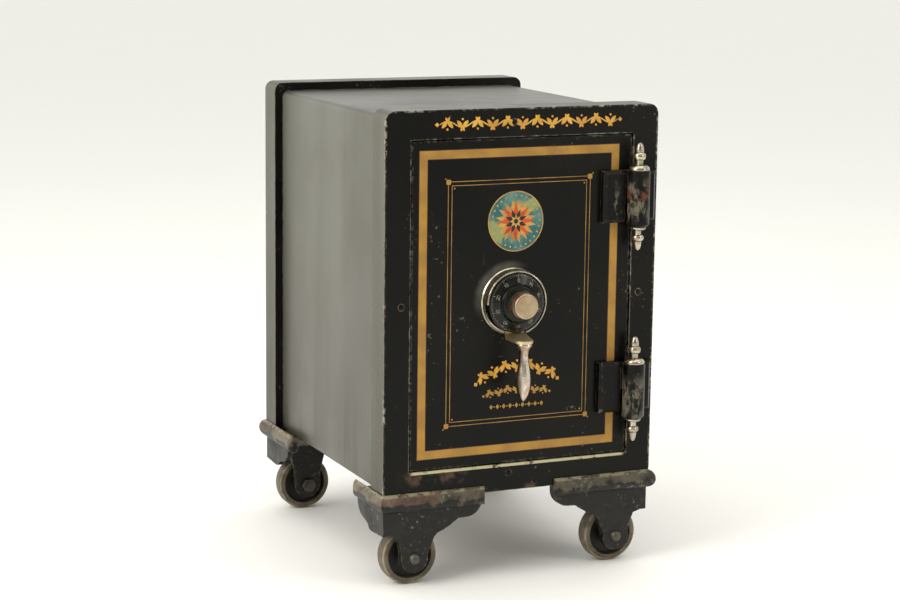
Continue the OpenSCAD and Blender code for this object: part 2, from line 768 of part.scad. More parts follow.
// Case of the combination lock, open towards the inner plate, with the post its wheels turn on.
module lock_case() {
    color([0.55, 0.47, 0.30]) from_face() difference() {
        union() {
            difference() {
                box(dial_x - lock_w, dial_x + lock_w, lock_y0, lock_y1,
                    lock_zc - lock_h, lock_zc + lock_h);
                box(dial_x - lock_w + lock_wall, dial_x + lock_w - lock_wall,
                    lock_y0 + lock_wall, lock_y1 + eps,
                    lock_zc - lock_h + lock_wall, lock_zc + lock_h - lock_wall);
            }
            at_dial() rod_y(post_r, lock_y0 + lock_wall, post_y1);
            lock_screw_places() rod_y(4, lock_y0 + lock_wall, lock_y1);
        }
        at_dial() rod_y(spindle_r + running, lock_y0 - eps, post_y1 + eps);
        lock_screw_places() rod_y(1.5, lock_y1 - 8, lock_y1 + eps);
        box(dial_x - lock_w - eps, dial_x - lock_w + lock_wall + eps, 68.7, 75.3,
            lock_bolt_z - 5.3, lock_bolt_z + 5.3);
    }
}

module lock_screw_places() {
    for (x = [-1, 1] * (lock_w - lock_wall - 3.5), z = [-1, 1] * (lock_h - lock_wall - 3.5))
        translate([dial_x + x, 0, lock_zc + z]) children();
}

module lock_cover() {
    color([0.60, 0.52, 0.33]) from_face() difference() {
        box(dial_x - lock_w, dial_x + lock_w, lock_y1, lock_y1 + 1.5,
            lock_zc - lock_h, lock_zc + lock_h);
        lock_screw_places() rod_y(1.5, lock_y1 - eps, lock_y1 + 1.5 + eps);
    }
}

module lock_screws() {
    color([0.60, 0.58, 0.55]) from_face() lock_screw_places() rod_y(1.5, lock_y1 - 8, lock_y1 + 1.5);
}

// Bolt of the combination lock, drawn back into its case.
module lock_bolt() {
    color([0.66, 0.56, 0.34]) from_face() difference() {
        box(dial_x - lock_w + 0.5, lever_x + 6, 69, 75, lock_bolt_z - 5, lock_bolt_z + 5);
        translate([lever_x, 0, lock_bolt_z]) rod_y(2, 68, 76);
    }
}

// Lever on the lock bolt, with the fence that drops into the gates of the wheels.
module lock_lever() {
    color([0.70, 0.58, 0.32]) from_face() {
        slab(77.5, 79.5) polygon([[lever_x - 5, lock_bolt_z - 4], [lever_x - 5, lock_bolt_z + 4],
            [dial_x, lock_bolt_z + 4], [dial_x + 12, lock_bolt_z - 2], [dial_x + 12, lock_bolt_z - 5],
            [dial_x - 4, lock_bolt_z - 5]]);
        box(dial_x - gate_w / 2 + 0.5, dial_x + gate_w / 2 - 0.5, disc_y0, 77.5,
            dial_z + disc_r + fence_gap, lock_bolt_z + 2);
        translate([lever_x, 0, lock_bolt_z]) rod_y(2, 69, 77.5);
    }
}

module handle_sleeve() {
    color([0.60, 0.58, 0.55]) from_face() at_dial() difference() {
        rod_y(sleeve_r, arm_y0, crank_y1);
        rod_y(spindle_r + running, arm_y0 - eps, crank_y1 + eps);
    }
}

// Arm of the handle: a hub behind the dial, a flat bar down, and a nose that turns forwards.
module handle_arm() {
    color([0.72, 0.68, 0.60]) from_face() difference() {
        union() {
            at_dial() rod_y(19, arm_y0, arm_y1);
            slab(arm_y0, arm_y1) polygon([
                [dial_x - 19, dial_z], [dial_x + 19, dial_z],
                [dial_x + arm_w / 2, dial_z - 24], [dial_x + arm_w / 2, grip_z + 4],
                [dial_x - arm_w / 2, grip_z + 4], [dial_x - arm_w / 2, dial_z - 24]]);
            translate([dial_x - arm_w / 2, 0, 0]) rotate([90, 0, 90]) linear_extrude(arm_w)
                polygon([[arm_y1, grip_z + 4], [arm_y1 - 1, grip_z], [1 - grip_out, grip_z],
                    [1 - grip_out, grip_z + 4], [arm_y0, grip_z + 9]]);
            translate([dial_x, 1 - grip_out, grip_z]) cylinder(r = arm_w / 2, h = 4);
        }
        at_dial() rod_y(sleeve_r, arm_y0 - eps, arm_y1 + eps);
        translate([dial_x, -grip_out, grip_z - eps]) cylinder(r = 5, h = 2.5 + eps);
    }
}

// Turned grip hanging from the arm: a collar, a funnel down to a thin neck, a long swelling and
// a pointed end.
module handle_grip() {
    neck_r = 6.1;
    neck_z = -15;
    belly_z = -51;
    tip_z = -79.6;
    color([0.74, 0.70, 0.64]) from_face() translate([dial_x, -grip_out, grip_z])
        rotate_extrude() polygon(concat(
            [[0, 2.5], [5, 2.5], [5, 0], [collar_r - 0.5, 0], [collar_r, -1.5], [collar_r, -3]],
            [for (i = [0 : 6]) let (t = i / 6) [
                neck_r + (collar_r - 1.2 - neck_r) * pow(1 - t, 2), -5 + (neck_z + 5) * t]],
            [for (i = [1 : 10]) let (t = i / 10) [
                neck_r + (grip_r - neck_r) * (1 - cos(180 * t)) / 2,
                neck_z + (belly_z - neck_z) * t]],
            [for (i = [1 : 10]) let (t = i / 10) [
                grip_r * pow(1 - pow(t, 2.2), 0.8), belly_z + (tip_z - belly_z) * t]]));
}

module handle_crank() {
    color([0.50, 0.48, 0.45]) from_face() difference() {
        union() {
            at_dial() rod_y(14, crank_y0, crank_y1);
            slab(crank_y0, crank_y1) polygon([
                [dial_x + 13, dial_z - 6], [crank_pin_x + 6, crank_pin_z],
                [crank_pin_x + 2, crank_pin_z - 6], [crank_pin_x - 5, crank_pin_z - 4],
                [dial_x - 8, dial_z - 10]]);
            translate([crank_pin_x, 0, crank_pin_z]) {
                rod_y(6, crank_y0, crank_y1);
                rod_y(crank_pin_r, fork_y0, crank_y0 + 1);
            }
        }
        at_dial() rod_y(sleeve_r, crank_y0 - eps, crank_y1 + eps);
    }
}

// Upright bar that carries the locking bolts, with the fork that the crank's pin moves in.
module bolt_bar() {
    fork_z0 = crank_pin_z - 16;
    fork_z1 = crank_pin_z + 3;
    color([0.50, 0.48, 0.45]) from_face() difference() {
        union() {
            box(bar_x0, bar_x1, bar_y0, bar_y1, bolt_zs[0] - 15, bolt_zs[2] + 15);
            box(bar_x0, crank_pin_x + fork_slot / 2 + 7, fork_y0, fork_y1, fork_z0, fork_z0 + 11);
            box(crank_pin_x - fork_slot / 2 - 6, crank_pin_x + fork_slot / 2 + 7,
                fork_y0, fork_y1, fork_z0, fork_z1);
        }
        box(crank_pin_x - fork_slot / 2, crank_pin_x + fork_slot / 2, fork_y0 - eps,
            fork_y1 + eps, crank_pin_z - 7, fork_z1 + eps);
        for (z = bolt_zs) translate([0, bolt_y, z]) rod_x(4, bar_x0 - eps, bar_x1 + eps);
    }
}

module locking_bolts() {
    color([0.66, 0.64, 0.60]) from_face() for (z = bolt_zs) translate([0, bolt_y, z]) {
        rod_x(bolt_r, bolt_tip_x, bar_x0);
        rod_x(4, bar_x0, bar_x1);
    }
}

front_frame();
rear_frame();
outer_shell();
back_plate();
jamb_frame();
fireproof_lining();
inner_box();
frame_rivets();
rear_rivets();
cabinet_case();
cabinet_shelf();
cabinet_dividers();
shoe_front_left();
shoe_front_right();
shoe_rear_left();
shoe_rear_right();
shoe_bolts();
axle_bolts();
axle_nuts();
wheel_front_left();
wheel_front_right();
wheel_rear_left();
wheel_rear_right();
frame_hinge_upper();
frame_hinge_lower();
hinge_pin_upper();
hinge_pin_lower();
hinge_finials_upper();
hinge_finials_lower();
door_plate();
door_casting();
door_filling();
door_inner_plate();
inner_plate_screws();
door_hinge_upper();
door_hinge_lower();
dial_ring();
hinge_side_dogs();
bolt_guides();
lock_case();
lock_cover();
lock_screws();
lock_bolt();
lock_lever();
dial();
dial_knob();
dial_spindle();
drive_cam();
lock_wheel_1();
lock_wheel_2();
lock_wheel_3();
handle_sleeve();
handle_arm();
handle_grip();
handle_crank();
bolt_bar();
locking_bolts();
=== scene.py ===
"""Looks of a small antique fireproof safe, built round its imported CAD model.

Lengths are in metres. The front of the safe faces -Y, +Z is up, and the safe stands on z = 0.
"""

import math

import bmesh
import bpy
from mathutils import Matrix, Vector


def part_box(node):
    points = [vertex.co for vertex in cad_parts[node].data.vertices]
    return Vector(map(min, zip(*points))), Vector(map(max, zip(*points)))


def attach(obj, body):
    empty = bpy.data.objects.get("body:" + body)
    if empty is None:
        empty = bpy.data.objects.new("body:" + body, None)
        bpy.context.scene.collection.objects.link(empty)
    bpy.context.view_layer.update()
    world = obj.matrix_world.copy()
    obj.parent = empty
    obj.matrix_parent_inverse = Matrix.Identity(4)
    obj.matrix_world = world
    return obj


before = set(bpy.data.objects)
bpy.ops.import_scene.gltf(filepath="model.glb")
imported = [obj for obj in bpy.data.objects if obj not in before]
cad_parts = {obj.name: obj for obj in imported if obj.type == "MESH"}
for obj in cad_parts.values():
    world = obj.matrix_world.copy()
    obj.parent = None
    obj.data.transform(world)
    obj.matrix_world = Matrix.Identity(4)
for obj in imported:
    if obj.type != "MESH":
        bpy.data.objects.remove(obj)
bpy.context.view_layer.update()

MM = 0.001


# ---- Places taken from the CAD parts ----

def corners(node):
    """Lowest and highest corner of a CAD node."""
    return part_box(node)


def middle(node):
    low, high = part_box(node)
    return (low + high) / 2


FRAME_LOW, FRAME_HIGH = corners("front_frame")
DOOR_LOW, DOOR_HIGH = corners("door_plate")
DOOR_FACE = DOOR_LOW.y
FRAME_FACE = FRAME_LOW.y
DIAL = middle("dial")
SHELL_LOW, SHELL_HIGH = corners("outer_shell")
BARREL = middle("hinge_pin_upper")
UPPER_BARREL_Z = BARREL.z
LOWER_BARREL_Z = middle("hinge_pin_lower").z
SHOE_TOP = corners("shoe_front_left")[1].z
BEAD_HALF_HEIGHT = 12.5 * MM
WHEEL = middle("wheel_front_right")

# The dial's sloping face: its outer and inner radius, and how far each lies behind the dial's front.
DIAL_FRONT = corners("dial")[0].y
CONE_OUTER, CONE_INNER = 38.8 * MM, 26.5 * MM
CONE_OUTER_DEPTH, CONE_INNER_DEPTH = 9.7 * MM, 4.5 * MM


# ---- Materials ----

def colour(red, green, blue):
    """Linear colour from the 0 to 255 values of a colour picker."""
    def linear(value):
        share = value / 255
        return share / 12.92 if share <= 0.04045 else ((share + 0.055) / 1.055) ** 2.4
    return (linear(red), linear(green), linear(blue), 1.0)


class Nodes:
    """A node tree being put together. Each method adds a node and returns its output."""

    def __init__(self, tree, place):
        self.tree = tree
        self.place = tree.nodes.new("ShaderNodeTexCoord").outputs[place]

    def feed(self, socket, value):
        if isinstance(value, bpy.types.NodeSocket):
            self.tree.links.new(value, socket)
        else:
            socket.default_value = value

    def stretched(self, scale):
        """The place scaled along each axis, so that a texture on it is drawn out."""
        node = self.tree.nodes.new("ShaderNodeVectorMath")
        node.operation = "MULTIPLY"
        self.feed(node.inputs[0], self.place)
        self.feed(node.inputs[1], scale)
        return node.outputs[0]

    def noise(self, scale, detail=4.0, roughness=0.55, distortion=0.0, at=None):
        node = self.tree.nodes.new("ShaderNodeTexNoise")
        self.feed(node.inputs["Vector"], at or self.place)
        node.inputs["Scale"].default_value = scale
        node.inputs["Detail"].default_value = detail
        node.inputs["Roughness"].default_value = roughness
        node.inputs["Distortion"].default_value = distortion
        return node.outputs["Fac"]

    def rise(self, value, low, high, to_low=0.0, to_high=1.0):
        """Goes smoothly from to_low to to_high as the value goes from low to high."""
        node = self.tree.nodes.new("ShaderNodeMapRange")
        node.interpolation_type = "SMOOTHSTEP"
        self.feed(node.inputs["Value"], value)
        for name, number in (("From Min", low), ("From Max", high),
                             ("To Min", to_low), ("To Max", to_high)):
            node.inputs[name].default_value = number
        return node.outputs["Result"]

    def maths(self, operation, first, second=0.0, clamp=False):
        node = self.tree.nodes.new("ShaderNodeMath")
        node.operation = operation
        node.use_clamp = clamp
        self.feed(node.inputs[0], first)
        self.feed(node.inputs[1], second)
        return node.outputs[0]

    def times(self, first, second):
        return self.maths("MULTIPLY", first, second)

    def most(self, first, second):
        return self.maths("MAXIMUM", first, second)

    def less(self, value):
        return self.maths("SUBTRACT", 1.0, value)

    def axis(self, name, vector=None):
        """One part of a vector, the place unless another is given."""
        node = self.tree.nodes.new("ShaderNodeSeparateXYZ")
        self.feed(node.inputs[0], vector or self.place)
        return node.outputs[name]

    def between(self, value, low, high, soft):
        """1 where the value lies between low and high, with soft ends."""
        return self.times(self.rise(value, low - soft, low + soft),
                          self.rise(value, high + soft, high - soft))

    def mix(self, share, first, second):
        node = self.tree.nodes.new("ShaderNodeMix")
        node.data_type = "RGBA"
        self.feed(node.inputs["Factor"], share)
        self.feed(node.inputs[6], first)
        self.feed(node.inputs[7], second)
        return node.outputs[2]


class Finish(Nodes):
    """A node material for one kind of surface."""

    def __init__(self, name, metallic=0.0, specular=0.5, coat=0.0, coat_roughness=0.1):
        self.material = bpy.data.materials.new(name)
        self.material.use_nodes = True
        super().__init__(self.material.node_tree, "Object")
        self.shader = self.tree.nodes["Principled BSDF"]
        self.shader.inputs["Metallic"].default_value = metallic
        self.shader.inputs["Specular IOR Level"].default_value = specular
        self.shader.inputs["Coat Weight"].default_value = coat
        self.shader.inputs["Coat Roughness"].default_value = coat_roughness
        self.geometry = self.tree.nodes.new("ShaderNodeNewGeometry")

    def edges(self, radius, start=0.03, full=0.2):
        """1 along the sharp edges and corners of the piece, 0 on its faces."""
        bevel = self.tree.nodes.new("ShaderNodeBevel")
        bevel.samples = 6
        bevel.inputs["Radius"].default_value = radius
        dot = self.tree.nodes.new("ShaderNodeVectorMath")
        dot.operation = "DOT_PRODUCT"
        self.feed(dot.inputs[0], bevel.outputs["Normal"])
        self.feed(dot.inputs[1], self.geometry.outputs["Normal"])
        return self.rise(self.less(dot.outputs["Value"]), start, full)

    def bump(self, height, distance, strength=1.0):
        node = self.tree.nodes.new("ShaderNodeBump")
        node.inputs["Strength"].default_value = strength
        node.inputs["Distance"].default_value = distance
        self.feed(node.inputs["Height"], height)
        return node.outputs["Normal"]

    def finish(self, base, roughness, normal=None):
        self.feed(self.shader.inputs["Base Color"], base)
        self.feed(self.shader.inputs["Roughness"], roughness)
        if normal is not None:
            self.feed(self.shader.inputs["Normal"], normal)
        return self.material


def side_grey(m):
    """Painted reflection: a hazy grey standing for a bright wall's glancing reflection on the black
    sides, lighter higher up, with upright streaks and low runs of dirt; painted shade makes it darker
    on top.
    """
    z = m.axis("Z")
    streaks = m.noise(15, detail=5, at=m.stretched((1.0, 1.0, 0.08)))
    # Painted reflection: this grey stands for the bright wall's glancing reflection in the black
    # paint, lighter higher up.
    upper_reflection_grey = m.mix(m.rise(streaks, 0.35, 0.65), colour(90, 90, 80), colour(102, 102, 92))
    lower_reflection_grey = m.mix(m.rise(streaks, 0.35, 0.65), colour(66, 64, 55), colour(78, 76, 66))
    grey = m.mix(m.rise(z, SHELL_LOW.z, SHELL_HIGH.z), lower_reflection_grey, upper_reflection_grey)
    grey = m.mix(m.times(m.rise(m.noise(6, detail=4), 0.5, 0.7), 0.3), grey, colour(82, 77, 66))
    # Painted shade: faces turned up are darkened.
    top_shade_mask = m.rise(m.axis("Z", m.geometry.outputs["Normal"]), 0.5, 0.9)
    grey = m.mix(m.times(top_shade_mask, 0.75), grey, colour(58, 58, 50))
    runs = m.noise(34, detail=4, at=m.stretched((1.0, 1.0, 0.1)))
    runs = m.times(m.rise(runs, 0.5, 0.62), m.rise(z, SHELL_LOW.z + 0.15, SHELL_LOW.z))
    return m.mix(m.times(runs, 0.8), grey, colour(46, 41, 34))


def outer_sides(m):
    """1 on the outer sides and top of the two frames, 0 on the faces turned to the front; it places
    the painted reflection grey.
    """
    sideways = m.maths("ABSOLUTE", m.axis("X"))
    outside = m.most(m.rise(sideways, FRAME_HIGH.x - 9 * MM, FRAME_HIGH.x - 5 * MM),
                     m.rise(m.axis("Z"), FRAME_HIGH.z - 6 * MM, FRAME_HIGH.z - 3 * MM))
    turned = m.axis("Y", m.geometry.outputs["Normal"])
    return m.times(outside, m.rise(m.maths("ABSOLUTE", turned), 0.75, 0.55))


def enamel(name, marks=(), sides=False, edge_cover=0.47, edge_worn=1.0):
    """Black japanned iron: dull rubbed areas, fine scratches, chips and worn edges; with sides set,
    the outer sides take a painted reflection grey.

    marks holds pairs of a function that returns where a mark is, and the mark's colour.
    """
    m = Finish(name, specular=0.16)
    rubbed = m.noise(5.5, detail=6, roughness=0.6)
    clouds = m.noise(21, detail=5)
    base = m.mix(m.rise(rubbed, 0.42, 0.66), colour(6, 6, 4), colour(15, 15, 11))
    # Painted reflection: the outer sides take the grey that stands for a bright wall's glancing
    # reflection.
    if sides:
        base = m.mix(outer_sides(m), base, side_grey(m))
    scratch = m.noise(60, detail=3, at=m.stretched((9.0, 9.0, 0.7)))
    scratch = m.times(m.rise(scratch, 0.7, 0.76), m.rise(clouds, 0.5, 0.62))
    speck = m.times(m.rise(m.noise(190, detail=3), 0.65, 0.7),
                    m.rise(m.noise(11, detail=3), 0.52, 0.64))
    edge = m.rise(m.noise(95, detail=6, roughness=0.75), edge_cover, edge_cover + 0.08)
    edge = m.times(m.times(edge, m.edges(2.4 * MM)), edge_worn)
    edge = m.times(edge, m.rise(m.noise(7, detail=2), 0.3, 0.5, 0.25, 1.0))
    worn = m.most(m.most(m.times(scratch, 0.3), m.times(speck, 0.75)), edge)
    bare = m.mix(m.rise(m.noise(33, detail=3), 0.42, 0.6), colour(134, 129, 116),
                 colour(104, 74, 62))
    base = m.mix(worn, base, bare)
    for place_of, mark_colour in marks:
        mark = place_of(m)
        base = m.mix(mark, base, mark_colour)
        worn = m.most(worn, mark)
    rough = m.maths("ADD", m.rise(rubbed, 0.35, 0.7, 0.24, 0.4), m.times(worn, 0.25))
    relief = m.maths("SUBTRACT", m.times(m.noise(420, detail=2), 0.15), m.times(worn, 0.8))
    relief = m.maths("ADD", relief, m.times(clouds, 0.9))
    return m.finish(base, rough, m.bump(relief, 0.15 * MM, 0.5))


def on_front(m):
    """1 on the front frame's face, 0 further back."""
    return m.rise(m.axis("Y"), FRAME_FACE + 5 * MM, FRAME_FACE + 2 * MM)


def sill_line(m):
    """Bare line where the door has rubbed along its sill."""
    line = m.times(m.between(m.axis("Z"), DOOR_LOW.z - 5 * MM, DOOR_LOW.z - 1.4 * MM, 0.5 * MM),
                   m.between(m.axis("X"), DOOR_LOW.x + 2 * MM, DOOR_HIGH.x - 4 * MM, 4 * MM))
    line = m.times(line, on_front(m))
    return m.times(line, m.rise(m.noise(60, detail=5, roughness=0.7), 0.36, 0.46))


def chips(m, distance):
    """Ragged chips where the distance from an edge is small."""
    ragged = m.rise(m.noise(170, detail=5, roughness=0.75), 0.5, 0.56)
    crowded = m.rise(m.noise(16, detail=3), 0.42, 0.62, 0.1, 1.0)
    return m.times(m.times(ragged, crowded), m.rise(distance, 3.4 * MM, 0.8 * MM))


def frame_chips(m):
    """Chips along the front frame's outer edges and round the door opening."""
    x, z = m.maths("ABSOLUTE", m.axis("X")), m.axis("Z")
    to_edge = m.maths("MINIMUM", m.maths("SUBTRACT", FRAME_HIGH.x, x),
                      m.maths("SUBTRACT", FRAME_HIGH.z, z))
    from_middle = m.maths("ABSOLUTE", m.maths("SUBTRACT", z, (DOOR_LOW.z + DOOR_HIGH.z) / 2))
    half_height = (DOOR_HIGH.z - DOOR_LOW.z) / 2
    beyond = m.most(m.maths("SUBTRACT", x, DOOR_HIGH.x + 1.6 * MM),
                    m.maths("SUBTRACT", from_middle, half_height + 1.6 * MM))
    to_opening = m.maths("ADD", m.maths("ABSOLUTE", beyond), 1.3 * MM)
    near = m.maths("MINIMUM", to_edge, to_opening)
    return m.times(chips(m, near), on_front(m))


def door_chips(m):
    """Chips along the edges of the door's face."""
    x, z = m.maths("ABSOLUTE", m.axis("X")), m.axis("Z")
    to_side = m.maths("SUBTRACT", DOOR_HIGH.x, x)
    to_ends = m.maths("MINIMUM", m.maths("SUBTRACT", z, DOOR_LOW.z),
                      m.maths("SUBTRACT", DOOR_HIGH.z, z))
    return m.times(chips(m, m.maths("MINIMUM", to_side, to_ends)), 0.6)


def sill_patch(m):
    """Rubbed brown patch below the sill at the left, and a fainter one along the lower edge."""
    x, z = m.axis("X"), m.axis("Z")
    ragged = m.noise(52, detail=5, roughness=0.65)
    patch = m.times(m.between(z, DOOR_LOW.z - 19 * MM, DOOR_LOW.z - 4 * MM, 6 * MM),
                    m.between(x, DOOR_LOW.x - 8 * MM, DOOR_LOW.x + 80 * MM, 18 * MM))
    low = m.rise(z, FRAME_LOW.z + 9 * MM, FRAME_LOW.z + 2 * MM)
    patch = m.most(m.times(patch, m.rise(ragged, 0.43, 0.6)),
                   m.times(low, m.rise(ragged, 0.5, 0.62)))
    return m.times(m.times(patch, on_front(m)), 0.7)


def on_barrels(m):
    """1 on the hinge barrels, 0 on the leaves beside them."""
    across = m.maths("SUBTRACT", m.axis("X"), BARREL.x)
    out = m.maths("SUBTRACT", m.axis("Y"), BARREL.y)
    radius = m.maths("SQRT", m.maths("ADD", m.times(across, across), m.times(out, out)))
    return m.rise(radius, 16.5 * MM, 15.5 * MM)


def barrel_wear(m):
    """Paint rubbed to grey iron on the barrels, most of all on the lower half of the lower one."""
    z = m.axis("Z")
    bands = m.most(m.between(z, UPPER_BARREL_Z - 30 * MM, UPPER_BARREL_Z + 22 * MM, 9 * MM),
                   m.between(z, LOWER_BARREL_Z - 44 * MM, LOWER_BARREL_Z + 16 * MM, 12 * MM))
    ragged = m.noise(64, detail=6, roughness=0.75, at=m.stretched((1.0, 1.0, 0.6)))
    lower = m.rise(z, LOWER_BARREL_Z + 10 * MM, LOWER_BARREL_Z - 10 * MM, 0.0, 0.06)
    return m.times(m.times(bands, on_barrels(m)),
                   m.rise(m.maths("ADD", ragged, lower), 0.47, 0.6, 0.0, 0.85))


def barrel_rust(m):
    """Red-brown band round the upper barrel."""
    z = m.axis("Z")
    band = m.between(z, UPPER_BARREL_Z - 1 * MM, UPPER_BARREL_Z + 12 * MM, 4 * MM)
    return m.times(m.times(band, on_barrels(m)), m.rise(m.noise(75, detail=5), 0.45, 0.57, 0.0, 0.8))


def barrel_scratches(m):
    """Bright scuffs round the hinge barrels and along the leaves."""
    ragged = m.noise(70, detail=5, roughness=0.7, at=m.stretched((1.0, 1.0, 0.35)))
    return m.times(m.rise(ragged, 0.58, 0.66), m.rise(m.noise(19, detail=3), 0.42, 0.56, 0.1, 0.75))


def dial_halo(m):
    """Painted reflection: a soft glare on the door, up and to the left of the dial's ring."""
    across = m.maths("SUBTRACT", m.axis("X"), DIAL.x - 4 * MM)
    up = m.maths("SUBTRACT", m.axis("Z"), DIAL.z + 3 * MM)
    radius = m.maths("SQRT", m.maths("ADD", m.times(across, across), m.times(up, up)))
    upper_left = m.rise(m.maths("SUBTRACT", up, across), 10 * MM, 50 * MM)
    return m.times(m.times(upper_left, m.rise(radius, 54 * MM, 43 * MM)),
                   m.rise(m.noise(30, detail=3), 0.3, 0.6, 0.3, 0.65))


def shell_paint():
    """Grey, hazy side paint, a painted reflection with painted shade on top, with worn edges and rust
    along its foot.
    """
    m = Finish("shell_paint", specular=0.5)
    blotches = m.noise(6, detail=4)
    edge = m.times(m.edges(2.5 * MM), m.rise(m.noise(70, detail=4), 0.5, 0.6))
    base = m.mix(m.times(edge, 0.5), side_grey(m), colour(140, 133, 116))
    rough = m.rise(blotches, 0.3, 0.7, 0.3, 0.42)
    foot = m.times(m.rise(m.axis("Z"), SHELL_LOW.z + 5 * MM, SHELL_LOW.z + 1 * MM),
                   m.rise(m.noise(48, detail=5), 0.42, 0.56))
    base = m.mix(m.times(foot, 0.8), base, colour(92, 68, 50))
    relief = m.maths("ADD", m.noise(9, detail=3), m.times(m.noise(300, detail=2), 0.06))
    return m.finish(base, rough, m.bump(relief, 0.5 * MM, 0.35))


def cast_paint(name, dark, light, roughness=0.5):
    """Thin paint over a rough casting."""
    m = Finish(name, specular=0.4)
    cloud = m.noise(14, detail=6)
    base = m.mix(m.rise(cloud, 0.35, 0.65), dark, light)
    edge = m.times(m.edges(2.0 * MM), m.rise(m.noise(60, detail=4), 0.46, 0.6))
    base = m.mix(m.times(edge, 0.7), base, colour(132, 122, 104))
    relief = m.maths("ADD", m.noise(130, detail=4), m.times(m.noise(420, detail=2), 0.4))
    return m.finish(base, m.rise(cloud, 0.3, 0.7, roughness - 0.08, roughness + 0.1),
                    m.bump(relief, 0.4 * MM, 0.6))


def worn_iron():
    """Shoes: black paint on the aprons, rubbed to olive-brown iron along the bead and the edges; the
    iron is painted lighter at the left, as painted window light.
    """
    m = Finish("worn_iron", specular=0.35)
    z = m.axis("Z")
    bead_middle = SHOE_TOP - BEAD_HALF_HEIGHT
    mottle = m.noise(38, detail=6, roughness=0.65)
    fine = m.noise(150, detail=4)
    black = m.mix(m.rise(mottle, 0.4, 0.65), colour(11, 11, 9), colour(30, 29, 25))
    iron = m.mix(m.rise(mottle, 0.36, 0.62), colour(50, 45, 35), colour(88, 82, 67))
    # Painted light: the iron grows lighter towards the left, standing for window light falling there.
    window_light = m.rise(m.axis("X"), -120 * MM, -185 * MM, 0.0, 0.7)
    iron = m.mix(window_light, iron, colour(120, 111, 92))
    rust = m.mix(m.rise(fine, 0.4, 0.6), colour(92, 62, 47), colour(60, 48, 38))
    iron = m.mix(m.times(m.rise(m.noise(15, detail=4), 0.5, 0.6), 0.85), iron, rust)
    on_bead = m.rise(z, bead_middle - BEAD_HALF_HEIGHT, bead_middle - 10 * MM)
    upper = m.rise(z, bead_middle - 6 * MM, bead_middle + 5 * MM, -0.1, 0.12)
    bare = m.times(on_bead, m.rise(m.maths("ADD", mottle, upper), 0.43, 0.53))
    edge = m.times(m.edges(4 * MM, 0.015, 0.1), m.rise(fine, 0.44, 0.54))
    bare = m.most(bare, m.times(edge, 0.85))
    base = m.mix(bare, black, iron)
    speck = m.times(m.rise(m.noise(150, detail=5, roughness=0.7), 0.58, 0.66),
                    m.rise(m.noise(24, detail=3), 0.44, 0.58))
    base = m.mix(m.times(speck, 0.75), base, colour(126, 120, 104))
    lip = m.times(m.rise(z, bead_middle + 8 * MM, bead_middle + 11 * MM),
                  m.rise(m.noise(85, detail=5, roughness=0.7), 0.44, 0.54))
    base = m.mix(m.times(lip, 0.75), base, colour(150, 143, 116))
    relief = m.maths("ADD", m.times(mottle, 0.8), m.times(fine, 0.35))
    relief = m.maths("SUBTRACT", relief, m.times(bare, 0.3))
    return m.finish(base, m.rise(mottle, 0.3, 0.7, 0.34, 0.58), m.bump(relief, 0.7 * MM, 0.8))


def wheel_iron():
    """Cast wheels: tread rubbed brown-grey, a bright line round the rim, dark towards the hub."""
    m = Finish("wheel_iron", specular=0.4)
    mottle = m.noise(45, detail=6, roughness=0.65)
    side = m.maths("SUBTRACT", m.maths("ABSOLUTE", m.axis("X")), WHEEL.x)
    up = m.maths("SUBTRACT", m.axis("Z"), WHEEL.z)
    radius = m.maths("SQRT", m.maths("ADD", m.times(side, side), m.times(up, up)))
    rim = m.rise(radius, 29.5 * MM, 32.5 * MM)
    metal = m.mix(m.rise(mottle, 0.35, 0.65), colour(76, 68, 54), colour(116, 106, 87))
    metal = m.mix(m.times(m.rise(m.noise(20, detail=3), 0.5, 0.62), 0.7), metal, colour(76, 56, 42))
    dark = m.mix(m.rise(mottle, 0.4, 0.6), colour(12, 11, 10), colour(26, 24, 20))
    base = m.mix(rim, dark, metal)
    line = m.between(radius, 36.6 * MM, 38.6 * MM, 0.5 * MM)
    base = m.mix(m.times(line, m.rise(mottle, 0.4, 0.55, 0.15, 0.7)), base, colour(158, 150, 130))
    relief = m.maths("ADD", m.times(mottle, 0.8), m.times(m.noise(180, detail=3), 0.3))
    return m.finish(base, m.rise(mottle, 0.3, 0.7, 0.4, 0.62), m.bump(relief, 0.5 * MM, 0.7))


def metal(name, bright, dull, roughness, tarnish=0.4, stain=None,
          stain_colour=(150, 104, 78), painted_dark_sides=None, painted_dark_colour=(58, 48, 38)):
    """Bare or plated metal with handling marks: clouds of tarnish and fine scratches."""
    m = Finish(name, metallic=1.0)
    cloud = m.noise(55, detail=5, roughness=0.6)
    fine = m.noise(240, detail=3)
    base = m.mix(m.times(m.rise(cloud, 0.42, 0.66), tarnish), bright, dull)
    if stain:
        base = m.mix(stain(m), base, colour(*stain_colour))
    # Painted dark reflection on the sides, where a mask for it is given.
    if painted_dark_sides:
        base = m.mix(painted_dark_sides(m), base, colour(*painted_dark_colour))
    pits = m.rise(m.noise(320, detail=2), 0.66, 0.74)
    base = m.mix(m.times(pits, 0.5), base, dull)
    rough = m.maths("ADD", m.rise(cloud, 0.35, 0.7, roughness, roughness + 0.14),
                    m.times(fine, 0.08))
    relief = m.maths("SUBTRACT", m.times(fine, 0.3), m.times(pits, 0.6))
    return m.finish(base, rough, m.bump(relief, 0.08 * MM, 0.5))


def grip_stain(m):
    """Copper showing through the plating, most of all at the grip's tip and below its collar."""
    low, high = corners("handle_grip")
    z = m.axis("Z")
    ends = m.most(m.rise(z, low.z + 27 * MM, low.z + 15 * MM, 0.0, 0.2),
                  m.rise(z, high.z - 26 * MM, high.z - 10 * MM, 0.0, 0.12))
    patches = m.maths("ADD", m.noise(46, detail=5, at=m.stretched((1.8, 1.8, 0.5))), ends)
    return m.rise(patches, 0.5, 0.74, 0.0, 0.75)


